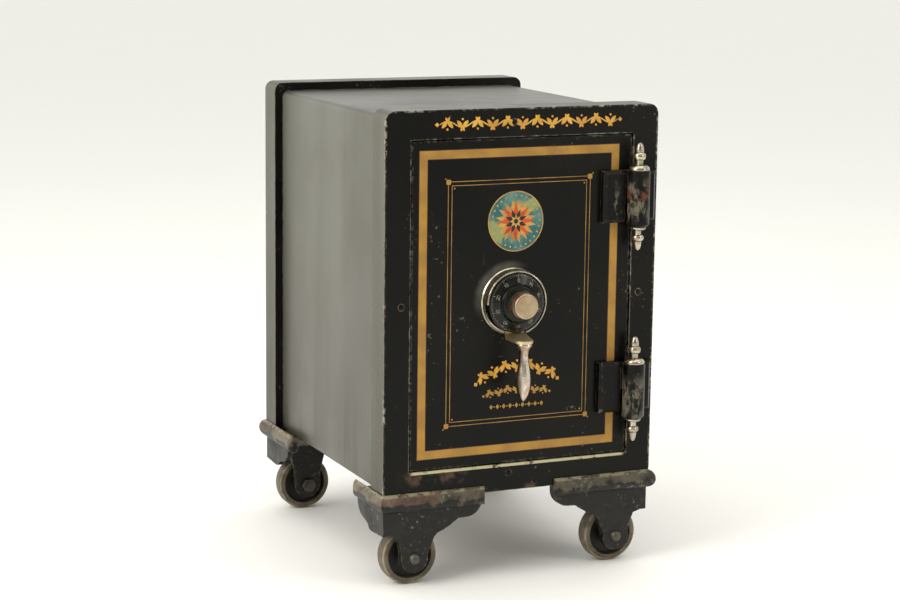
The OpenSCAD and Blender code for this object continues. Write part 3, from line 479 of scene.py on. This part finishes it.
def grip_sides(m):
    """Painted dark reflection down the grip's left and right sides, where it faces dark surroundings.
    """
    sideways = m.maths("ABSOLUTE", m.axis("X", m.geometry.outputs["Normal"]))
    ragged = m.noise(40, detail=4, at=m.stretched((1.5, 1.5, 0.3)))
    return m.rise(m.maths("ADD", sideways, m.maths("SUBTRACT", ragged, 0.5)), 0.4, 0.85, 0.0, 0.8)


def knob_stain(m):
    """A faint pink and brown cast on the worn front of the knob."""
    return m.rise(m.noise(42, detail=4), 0.5, 0.66, 0.0, 0.4)


def arm_stain(m):
    """Old lacquer, golden on the nose of the handle's arm."""
    return m.rise(m.noise(50, detail=4), 0.4, 0.6, 0.35, 0.8)


def black_dial():
    m = Finish("black_dial", specular=0.3)
    wear = m.noise(90, detail=4)
    base = m.mix(m.rise(wear, 0.45, 0.7), colour(8, 8, 6), colour(20, 20, 16))
    edge = m.times(m.edges(0.8 * MM), m.rise(m.noise(210, detail=3), 0.45, 0.6))
    base = m.mix(m.times(edge, 0.6), base, colour(120, 116, 104))
    return m.finish(base, m.rise(wear, 0.3, 0.7, 0.2, 0.34), m.bump(m.noise(350), 0.05 * MM, 0.4))


def cabinet_wood():
    """Oiled walnut with long grain and pores."""
    m = Finish("cabinet_wood", specular=0.35)
    along = m.stretched((14.0, 1.0, 14.0))
    rings = m.noise(2.6, detail=6, roughness=0.6, distortion=1.2, at=along)
    bands = m.maths("FRACT", m.times(rings, 7.0))
    bands = m.rise(m.maths("ABSOLUTE", m.maths("SUBTRACT", bands, 0.5)), 0.0, 0.5)
    pores = m.rise(m.noise(46, detail=3, at=m.stretched((8.0, 0.5, 8.0))), 0.58, 0.7)
    base = m.mix(bands, colour(88, 52, 28), colour(124, 79, 44))
    base = m.mix(m.times(pores, 0.7), base, colour(48, 28, 16))
    relief = m.maths("SUBTRACT", m.times(bands, 0.3), pores)
    return m.finish(base, m.rise(rings, 0.3, 0.7, 0.4, 0.55), m.bump(relief, 0.15 * MM, 0.6))


def fireproof_fill():
    """Old cement and sawdust filling."""
    m = Finish("fireproof_fill", specular=0.2)
    grit = m.noise(120, detail=6, roughness=0.7)
    base = m.mix(m.rise(grit, 0.35, 0.65), colour(176, 168, 150), colour(206, 198, 180))
    return m.finish(base, 0.9, m.bump(grit, 1.0 * MM, 0.8))


def gilding(name, light, dark, wear=0.5):
    """Gold leaf or bronze paint, rubbed through to the black in spots."""
    m = Finish(name, specular=0.4)
    sheen = m.noise(32, detail=4)
    fine = m.noise(260, detail=3)
    base = m.mix(m.rise(sheen, 0.35, 0.65), dark, light)
    base = m.mix(m.times(m.rise(fine, 0.5, 0.7), 0.25), base, dark)
    lost = m.times(m.rise(m.noise(150, detail=5, roughness=0.7), 0.6, 0.68),
                   m.rise(m.noise(13, detail=2), 0.45, 0.6))
    base = m.mix(m.times(lost, wear), base, colour(30, 26, 20))
    return m.finish(base, m.rise(sheen, 0.3, 0.7, 0.34, 0.5), m.bump(fine, 0.04 * MM, 0.5))


def colour_print(name, first, second, third=None):
    """A faded colour of a transfer picture, mottled from one tone to another."""
    m = Finish(name, specular=0.4)
    patch = m.noise(48, detail=5, roughness=0.6)
    base = m.mix(m.rise(patch, 0.38, 0.62), first, second)
    if third:
        base = m.mix(m.rise(m.noise(27, detail=4), 0.5, 0.6), base, third)
    rubbed = m.rise(m.noise(210, detail=4), 0.63, 0.72)
    base = m.mix(m.times(rubbed, 0.5), base, colour(52, 46, 36))
    return m.finish(base, 0.36, m.bump(patch, 0.05 * MM, 0.4))


def make_finishes():
    """Every material, by the name of its slot or use."""
    made = {
        "black_paint": enamel("black_paint"),
        # The frames' outer sides carry the painted reflection grey.
        "frame_paint": enamel("frame_paint", sides=True, edge_cover=0.41, marks=[
            (sill_patch, colour(96, 78, 64)), (frame_chips, colour(158, 152, 136)),
            (sill_line, colour(190, 182, 146))]),
        "hinge_paint": enamel("hinge_paint", edge_cover=0.44, marks=[
            (barrel_wear, colour(112, 106, 91)), (barrel_rust, colour(118, 62, 48)),
            (barrel_scratches, colour(138, 133, 120))]),
        # The door's marks include a painted glare up and to the left of the dial.
        "door_paint": enamel("door_paint", edge_cover=0.47, edge_worn=0.7,
                             marks=[(dial_halo, colour(112, 110, 101)),
                                    (door_chips, colour(122, 116, 100))]),
        "shell_paint": shell_paint(),
        "casting_paint": cast_paint("casting_paint", colour(26, 25, 23), colour(44, 42, 38)),
        "inner_paint": cast_paint("inner_paint", colour(66, 34, 24), colour(92, 50, 34), 0.42),
        "fireproof_fill": fireproof_fill(),
        "cabinet_wood": cabinet_wood(),
        "worn_iron": worn_iron(),
        "wheel_iron": wheel_iron(),
        "dark_steel": metal("dark_steel", colour(96, 92, 86), colour(58, 54, 48), 0.42),
        "bright_steel": metal("bright_steel", colour(170, 167, 160), colour(104, 98, 88), 0.28),
        "nickel": metal("nickel", colour(192, 184, 166), colour(118, 106, 86), 0.16, tarnish=0.6),
        "knob_nickel": metal("knob_nickel", colour(184, 166, 136), colour(134, 112, 86), 0.28,
                             stain=knob_stain, stain_colour=(188, 136, 116)),
        "arm_nickel": metal("arm_nickel", colour(226, 214, 180), colour(170, 150, 112), 0.38,
                            stain=arm_stain, stain_colour=(196, 174, 122)),
        # The grip's left and right sides take a painted dark reflection.
        "grip_nickel": metal("grip_nickel", colour(232, 222, 206), colour(156, 138, 120), 0.2,
                             tarnish=0.7, stain=grip_stain, stain_colour=(150, 100, 76),
                             painted_dark_sides=grip_sides),
        "black_dial": black_dial(),
        "brass": metal("brass", colour(196, 158, 92), colour(126, 96, 56), 0.26),
        "gilt": gilding("gilt", colour(176, 132, 52), colour(154, 114, 46)),
        "gilt_dull": gilding("gilt_dull", colour(168, 130, 62), colour(128, 96, 46), wear=0.9),
        "gilt_bright": gilding("gilt_bright", colour(222, 172, 66), colour(192, 138, 50), wear=0.8),
        "gilt_shade": colour_print("gilt_shade", colour(84, 34, 20), colour(60, 28, 18)),
        "print_teal": colour_print("print_teal", colour(40, 96, 98), colour(84, 132, 122),
                                   colour(140, 150, 96)),
        "print_sand": colour_print("print_sand", colour(204, 156, 72), colour(170, 116, 56)),
        "print_orange": colour_print("print_orange", colour(206, 84, 38), colour(168, 56, 30)),
        "print_dark": colour_print("print_dark", colour(38, 32, 24), colour(26, 24, 22)),
        "ivory": colour_print("ivory", colour(150, 147, 134), colour(112, 109, 98)),
    }
    return made


FINISHES = make_finishes()


# ---- CAD nodes: materials and softened edges ----

def dress(node, finish):
    """Gives a CAD node its material."""
    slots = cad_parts[node].data.materials
    for index in range(len(slots)):
        slots[index] = FINISHES[finish]


def soften(node, width, segments=3, angle=32):
    """Rounds a CAD node's sharp edges with modifiers, over its unchanged mesh."""
    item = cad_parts[node]
    weld = item.modifiers.new("weld", "WELD")
    weld.merge_threshold = 0.005 * MM
    flat = item.modifiers.new("flat", "DECIMATE")
    flat.decimate_type = "DISSOLVE"
    flat.angle_limit = math.radians(0.3)
    bevel = item.modifiers.new("bevel", "BEVEL")
    bevel.width = width
    bevel.segments = segments
    bevel.limit_method = "ANGLE"
    bevel.angle_limit = math.radians(angle)
    bevel.miter_outer = "MITER_ARC"
    normals = item.modifiers.new("normals", "WEIGHTED_NORMAL")
    normals.keep_sharp = False
    normals.weight = 80


NODE_FINISHES = {
    "front_frame": "frame_paint",
    "rear_frame": "frame_paint",
    "door_plate": "door_paint",
    "door_hinge_upper": "hinge_paint",
    "door_hinge_lower": "hinge_paint",
    "frame_hinge_upper": "hinge_paint",
    "frame_hinge_lower": "hinge_paint",
    "dial_knob": "knob_nickel",
    "handle_arm": "arm_nickel",
    "handle_grip": "grip_nickel",
    "axle_bolts": "dark_steel",
}

EDGE_WIDTHS = {
    "front_frame": 1.6 * MM, "rear_frame": 2.0 * MM, "outer_shell": 1.2 * MM,
    "door_plate": 0.8 * MM, "back_plate": 0.8 * MM,
    "door_hinge_upper": 0.8 * MM, "door_hinge_lower": 0.8 * MM,
    "frame_hinge_upper": 0.8 * MM, "frame_hinge_lower": 0.8 * MM,
    "shoe_front_left": 1.6 * MM, "shoe_front_right": 1.6 * MM,
    "shoe_rear_left": 1.6 * MM, "shoe_rear_right": 1.6 * MM,
    "handle_arm": 1.2 * MM, "axle_nuts": 0.5 * MM, "shoe_bolts": 0.5 * MM,
    "cabinet_case": 1.0 * MM, "cabinet_shelf": 1.0 * MM, "cabinet_dividers": 0.7 * MM,
    "door_inner_plate": 0.6 * MM, "bolt_bar": 0.6 * MM,
}

for node_name, cad_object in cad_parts.items():
    slot_name = cad_object.data.materials[0].name
    dress(node_name, NODE_FINISHES.get(node_name, slot_name))

for node_name, edge_width in EDGE_WIDTHS.items():
    soften(node_name, edge_width)


# ---- Making thin painted shapes ----

def new_piece(name, mesh, finish, body):
    item = bpy.data.objects.new(name, mesh)
    bpy.context.scene.collection.objects.link(item)
    mesh.materials.append(FINISHES[finish])
    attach(item, body)
    return item


def relief(name, outlines, ground, height, finish, body):
    """Thin closed shapes, each a little higher than the last.

    ground is the y of the plane they lie on, or a function of x and z that returns it.
    """
    work = bmesh.new()
    step = 0.6e-6
    level = ground if callable(ground) else lambda x, z: ground
    for order, outline in enumerate(outlines):
        lift = height + order * step
        ring_front = [work.verts.new((x, level(x, z) - lift, z)) for x, z in outline]
        ring_back = [work.verts.new((x, level(x, z), z)) for x, z in outline]
        work.faces.new(ring_front)
        work.faces.new(list(reversed(ring_back)))
        for a in range(len(outline)):
            b = (a + 1) % len(outline)
            work.faces.new((ring_front[a], ring_back[a], ring_back[b], ring_front[b]))
    bmesh.ops.recalc_face_normals(work, faces=work.faces)
    mesh = bpy.data.meshes.new(name)
    work.to_mesh(mesh)
    work.free()
    return new_piece(name, mesh, finish, body)


def rectangle(left, right, bottom, top):
    return [(left, bottom), (right, bottom), (right, top), (left, top)]


def border(left, right, bottom, top, width):
    """The four mitred strips of a rectangular border, given its outer edges."""
    outer = rectangle(left, right, bottom, top)
    inner = rectangle(left + width, right - width, bottom + width, top - width)
    return [[outer[i], outer[(i + 1) % 4], inner[(i + 1) % 4], inner[i]] for i in range(4)]


def disc(x, z, radius, count=40):
    return [(x + radius * math.cos(math.tau * i / count), z + radius * math.sin(math.tau * i / count))
            for i in range(count)]


def ribbon(points, width):
    """Outline of a brush stroke along the points. width(t) is its width at t from 0 to 1."""
    left, right = [], []
    last = len(points) - 1
    for i, (x, z) in enumerate(points):
        x0, z0 = points[max(i - 1, 0)]
        x1, z1 = points[min(i + 1, last)]
        length = math.hypot(x1 - x0, z1 - z0)
        half = width(i / last) / 2
        off_x, off_z = -(z1 - z0) / length * half, (x1 - x0) / length * half
        left.append((x + off_x, z + off_z))
        right.append((x - off_x, z - off_z))
    return left + right[::-1]


def leaf(x, z, angle, length, width):
    """A pointed leaf that starts at (x, z) and grows in that direction, in degrees."""
    count = 10
    turn = math.radians(angle)
    shape = []
    for side in (1, -1):
        for i in range(count):
            t = i / count if side > 0 else 1 - i / count
            across = side * width / 2 * math.sin(math.pi * t) ** 0.8
            shape.append((x + math.cos(turn) * t * length - math.sin(turn) * across,
                          z + math.sin(turn) * t * length + math.cos(turn) * across))
    return shape


def shifted(outlines, dx, dz):
    return [[(x + dx, z + dz) for x, z in outline] for outline in outlines]


def lozenge(x, z, width, height):
    return [(x - width / 2, z), (x, z - height / 2), (x + width / 2, z), (x, z + height / 2)]


def star(x, z, points, long, short, turn=0.0):
    """Outline of a star with that many points."""
    shape = []
    for i in range(2 * points):
        radius = short if i % 2 else long
        angle = math.radians(turn) + math.pi * i / points
        shape.append((x + radius * math.sin(angle), z + radius * math.cos(angle)))
    return shape


def vine(left, right, middle_z, height, waves, stem):
    """A waving stem between two ends, with a leaf pair and a berry in each of its bends."""
    step = (right - left) / waves
    swing = height * 0.24
    count = waves * 12
    points = []
    for i in range(count + 1):
        x = left + (right - left) * i / count
        points.append((x, middle_z + swing * math.sin(math.pi * (x - left) / step)))
    shapes = [ribbon(points, lambda t: stem * (0.35 + 0.65 * math.sin(math.pi * t) ** 0.3))]
    for bend in range(waves):
        x = left + (bend + 0.5) * step
        side = 1 if bend % 2 == 0 else -1
        root = middle_z + side * swing
        for lean in (-42, 42):
            shapes.append(leaf(x, root, -90 * side + lean, height * 0.7, height * 0.3))
        shapes.append(leaf(x, root, 90 * side - 28, height * 0.34, height * 0.2))
        shapes.append(leaf(x, root, 90 * side + 28, height * 0.34, height * 0.2))
        shapes.append(disc(x, root - side * height * 0.62, height * 0.085, 14))
    for x, away in ((left, -1), (right, 1)):
        shapes.append(lozenge(x + away * height * 0.22, middle_z, height * 0.36, height * 0.36))
    return shapes


def beads_and_lozenges(left, right, middle_z, height, count):
    """A row of lozenges with a small disc between each two."""
    step = (right - left) / count
    shapes = []
    for i in range(count):
        x = left + (i + 0.5) * step
        shapes.append(lozenge(x, middle_z, step * 0.56, height))
        if i < count - 1:
            shapes.append(disc(x + step / 2, middle_z, height * 0.14, 14))
    return shapes


def arched(outlines, x_middle, z_middle, radius):
    """Bends outlines drawn along z = 0 round a circle with that middle."""
    def bent(x, z):
        angle = (x - x_middle) / radius
        return (x_middle + (radius + z) * math.sin(angle), z_middle + (radius + z) * math.cos(angle))
    return [[bent(x, z) for x, z in outline] for outline in outlines]


LAYER = 0.12 * MM


# ---- Gilding on the door and the frame ----

def band_and_pinstripes():
    left, right = DOOR_LOW.x + 10.9 * MM, DOOR_HIGH.x - 19.4 * MM
    bottom, top = DOOR_LOW.z + 14.8 * MM, DOOR_HIGH.z - 13.0 * MM
    wide, shade = 11 * MM, 0.9 * MM
    relief("band_shade", border(left - shade, right + shade, bottom - shade, top + shade,
                                wide + 2 * shade), DOOR_FACE, LAYER, "gilt_shade", "door")
    relief("band", border(left, right, bottom, top, wide), DOOR_FACE, 2 * LAYER, "gilt", "door")
    line, gap = 0.95 * MM, 5.3 * MM
    left, right = DOOR_LOW.x + 51.4 * MM, DOOR_HIGH.x - 61.4 * MM
    bottom, top = DOOR_LOW.z + 56.3 * MM, DOOR_HIGH.z - 54.0 * MM
    lines = border(left, right, bottom, top, line)
    lines += border(left + gap, right - gap, bottom + gap, top - gap, line)
    relief("pinstripes", lines, DOOR_FACE, LAYER, "gilt_dull", "door")
    marks = []
    for x, x_in in ((left, 1), (right, -1)):
        for z, z_in in ((bottom, 1), (top, -1)):
            for turn in (45, 135, 225, 315):
                off = 2.0 * MM
                marks.append(disc(x + off * math.cos(math.radians(turn)) + x_in * 0.8 * MM,
                                  z + off * math.sin(math.radians(turn)) + z_in * 0.8 * MM,
                                  2.0 * MM, 20))
            marks.append(disc(x + x_in * 9.3 * MM, z + z_in * 9.3 * MM, 1.1 * MM, 16))
            marks.append(disc(x - x_in * 3.4 * MM, z - z_in * 3.4 * MM, 1.0 * MM, 16))
    relief("pinstripe_corners", marks, DOOR_FACE, 1.6 * LAYER, "gilt", "door")


def shaded(name, outlines, plane, finish, body, drop=0.7 * MM):
    """Gilt shapes with a darker copy set off to the right and below them."""
    relief(name + "_shade", shifted(outlines, drop, -drop), plane, LAYER, "gilt_shade", body)
    relief(name, outlines, plane, 2 * LAYER, finish, body)


def door_ornaments():
    """Leaf ornaments on the top bar and below the dial."""
    top_z = (FRAME_HIGH.z + DOOR_HIGH.z) / 2 + 0.8 * MM
    shaded("top_vine", vine(DIAL.x - 108 * MM, DIAL.x + 151 * MM, top_z, 17 * MM, 12, 2.0 * MM),
           FRAME_FACE, "gilt_bright", "safe_body")
    x = DIAL.x + 9.4 * MM
    arch = vine(x - 62 * MM, x + 62 * MM, 0, 17 * MM, 7, 1.9 * MM)
    shaded("arch_vine", arched(arch, x, DIAL.z - 181.7 * MM, 94 * MM), DOOR_FACE,
           "gilt_bright", "door")
    row = vine(x - 47 * MM, x + 47 * MM, 0, 12 * MM, 7, 1.3 * MM)
    shaded("middle_vine", arched(row, x, DIAL.z - 301 * MM, 181 * MM), DOOR_FACE,
           "gilt", "door", 0.5 * MM)
    relief("lower_row", beads_and_lozenges(x - 42 * MM, x + 42 * MM, DIAL.z - 142.5 * MM, 7 * MM, 9),
           DOOR_FACE, LAYER, "gilt", "door")


def medallion():
    """Round coloured picture above the dial: a star with many points on a teal ground."""
    x, z = DIAL.x + 4.1 * MM, DIAL.z + 106.8 * MM
    layers = [
        ("rim", [disc(x, z, 40.5 * MM, 72)], "print_sand"),
        ("ground", [disc(x, z, 39.2 * MM, 72)], "print_teal"),
        ("beads", [disc(x + 34.5 * MM * math.cos(math.tau * i / 28),
                        z + 34.5 * MM * math.sin(math.tau * i / 28), 1.3 * MM, 12)
                   for i in range(28)], "print_sand"),
        ("rays", [star(x, z, 16, 30 * MM, 19 * MM, 11.25)], "print_sand"),
        ("star", [star(x, z, 8, 27 * MM, 11 * MM)], "print_orange"),
        ("small_star", [star(x, z, 8, 17 * MM, 8.5 * MM, 22.5)], "print_dark"),
        ("heart", [star(x, z, 8, 9.5 * MM, 5 * MM)], "print_sand"),
        ("boss", [disc(x, z, 3.2 * MM, 24)], "print_dark"),
    ]
    for order, (name, outlines, finish) in enumerate(layers):
        relief("medallion_" + name, outlines, DOOR_FACE, (order + 1) * 0.5 * LAYER, finish, "door")


# ---- Marks of the dial ----

FIGURE_FOOT = 29.2 * MM
FIGURE_GRID = 0.62 * MM
FIGURE_STEP = 5.2
FIGURE_WIDTH = 4.0

# Strokes of the figures, on a grid 4 wide and 6 high.
FIGURES = {
    "0": [[(1, 0), (0, 1.2), (0, 4.8), (1, 6), (3, 6), (4, 4.8), (4, 1.2), (3, 0), (1, 0)]],
    "1": [[(0.8, 4.8), (2.2, 6), (2.2, 0)]],
    "2": [[(0, 4.8), (1, 6), (3, 6), (4, 4.9), (3.8, 3.6), (0, 0), (4, 0)]],
    "3": [[(0, 5.2), (1, 6), (3, 6), (4, 5), (3.8, 3.7), (2, 3.2), (4, 2.6), (4, 1.1), (3, 0),
           (1, 0), (0, 0.9)]],
    "4": [[(3, 0), (3, 6), (0, 2), (4, 2)]],
    "5": [[(3.8, 6), (0.4, 6), (0.2, 3.3), (2.6, 3.7), (4, 2.6), (4, 1.1), (3, 0), (1, 0),
           (0, 0.9)]],
    "6": [[(3.6, 5.4), (2.4, 6), (1, 5.6), (0, 3.6), (0, 1.2), (1, 0), (3, 0), (4, 1.2),
           (3.8, 2.8), (2.8, 3.6), (1, 3.4), (0, 2.4)]],
    "7": [[(0, 6), (4, 6), (1.4, 0)]],
    "8": [[(2, 3.2), (0.4, 4), (0.4, 5.2), (1.2, 6), (2.8, 6), (3.6, 5.2), (3.6, 4), (2, 3.2),
           (0, 2.2), (0, 1), (1, 0), (3, 0), (4, 1), (4, 2.2), (2, 3.2)]],
    "9": [[(0.4, 0.6), (1.6, 0), (3, 0.4), (4, 2.4), (4, 4.8), (3, 6), (1, 6), (0, 4.8),
           (0.2, 3.4), (1.2, 2.6), (3, 2.8), (4, 3.8)]],
}


def dial_cone(x, z):
    """y of the dial's sloping face under the point (x, z)."""
    radius = math.hypot(x - DIAL.x, z - DIAL.z)
    share = (CONE_OUTER - radius) / (CONE_OUTER - CONE_INNER)
    return DIAL_FRONT + CONE_OUTER_DEPTH - share * (CONE_OUTER_DEPTH - CONE_INNER_DEPTH)


def dial_marks():
    """A hundred lines round the dial's sloping face, with a figure at every tenth."""
    def at(angle, radius, aside=0.0):
        turn = math.radians(angle)
        return (DIAL.x + radius * math.sin(turn) + aside * math.cos(turn),
                DIAL.z + radius * math.cos(turn) - aside * math.sin(turn))

    lines, figures = [], []
    for number in range(100):
        angle = -3.6 * number
        inner = (34.6 if number % 10 == 0 else 35.6 if number % 5 == 0 else 36.6) * MM
        half = (0.28 if number % 10 == 0 else 0.17) * MM
        lines.append([at(angle, inner, -half), at(angle, inner, half),
                      at(angle, 38.5 * MM, half), at(angle, 38.5 * MM, -half)])
        if number % 10:
            continue
        digits = str(number)
        half_width = ((len(digits) - 1) * FIGURE_STEP + FIGURE_WIDTH) / 2
        for place, digit in enumerate(digits):
            aside = place * FIGURE_STEP - half_width
            for stroke in FIGURES[digit]:
                points = [at(angle, FIGURE_FOOT + z * FIGURE_GRID, (x + aside) * FIGURE_GRID)
                          for x, z in stroke]
                for start, end in zip(points, points[1:]):
                    figures.append(ribbon([start, end], lambda t: 0.52 * MM))
    relief("dial_lines", lines, dial_cone, 0.03 * MM, "ivory", "dial_and_spindle")
    relief("dial_figures", figures, dial_cone, 0.03 * MM, "ivory", "dial_and_spindle")


band_and_pinstripes()
door_ornaments()
medallion()
dial_marks()


# ---- Floor, light and camera ----

def plain_floor():
    m = Finish("floor", specular=0.3)
    base = m.mix(m.noise(3, detail=3), colour(251, 251, 247), colour(253, 253, 250))
    material = m.finish(base, 0.7)
    mesh = bpy.data.meshes.new("floor")
    half = 60.0
    mesh.from_pydata([(-half, -half, 0), (half, -half, 0), (half, half, 0), (-half, half, 0)],
                     [], [(0, 1, 2, 3)])
    mesh.materials.append(material)
    floor = bpy.data.objects.new("floor", mesh)
    bpy.context.scene.collection.objects.link(floor)


def soft_box(name, place, aim, size, power, tint=(1.0, 0.97, 0.92)):
    data = bpy.data.lights.new(name, "AREA")
    data.shape = "RECTANGLE"
    data.size, data.size_y = size
    data.energy = power
    data.color = tint
    lamp = bpy.data.objects.new(name, data)
    lamp.location = place
    lamp.rotation_mode = "QUATERNION"
    lamp.rotation_quaternion = (Vector(aim) - Vector(place)).to_track_quat("-Z", "Y")
    bpy.context.scene.collection.objects.link(lamp)


def studio():
    """Light from all round, dimmer from the front, with soft boxes at the left and above."""
    world = bpy.data.worlds.new("studio")
    bpy.context.scene.world = world
    world.use_nodes = True
    sky = Nodes(world.node_tree, "Generated")
    from_front = sky.rise(sky.axis("Y"), 0.1, -0.75)
    dim = sky.times(from_front, sky.rise(sky.axis("Z"), 0.95, 0.3))
    background = world.node_tree.nodes["Background"]
    sky.feed(background.inputs["Color"], sky.mix(dim, (0.98, 0.97, 0.93, 1), (0.21, 0.2, 0.17, 1)))
    background.inputs["Strength"].default_value = 1.02
    soft_box("window_left", (-2.8, -0.9, 2.0), (0, 0, 0.3), (1.6, 2.2), 60)
    soft_box("ceiling", (0.1, 0.1, 3.2), (0, 0, 0), (3.0, 3.0), 30)
    soft_box("strip_right", (1.9, -2.4, 1.5), (0.1, -0.2, 0.35), (0.35, 1.6), 14)


def photo_camera():
    """The camera of the reference view: a long lens, turned a little right and down."""
    data = bpy.data.cameras.new("camera")
    data.sensor_width = 36.0
    data.lens = 90.31
    yaw, pitch, roll = 0.4167, -0.1789, 0.0119
    ahead = Vector((math.sin(yaw) * math.cos(pitch), math.cos(yaw) * math.cos(pitch),
                    math.sin(pitch)))
    level_right = Vector((math.cos(yaw), -math.sin(yaw), 0))
    level_up = level_right.cross(ahead)
    right = level_right * math.cos(roll) + level_up * math.sin(roll)
    up = level_up * math.cos(roll) - level_right * math.sin(roll)
    camera = bpy.data.objects.new("camera", data)
    turn = Matrix((right, up, -ahead)).transposed().to_4x4()
    camera.matrix_world = Matrix.Translation((-1.28489, -2.88023, 0.91494)) @ turn
    bpy.context.scene.collection.objects.link(camera)
    bpy.context.scene.camera = camera


plain_floor()
studio()
photo_camera()
bpy.context.scene.view_settings.view_transform = "Standard"
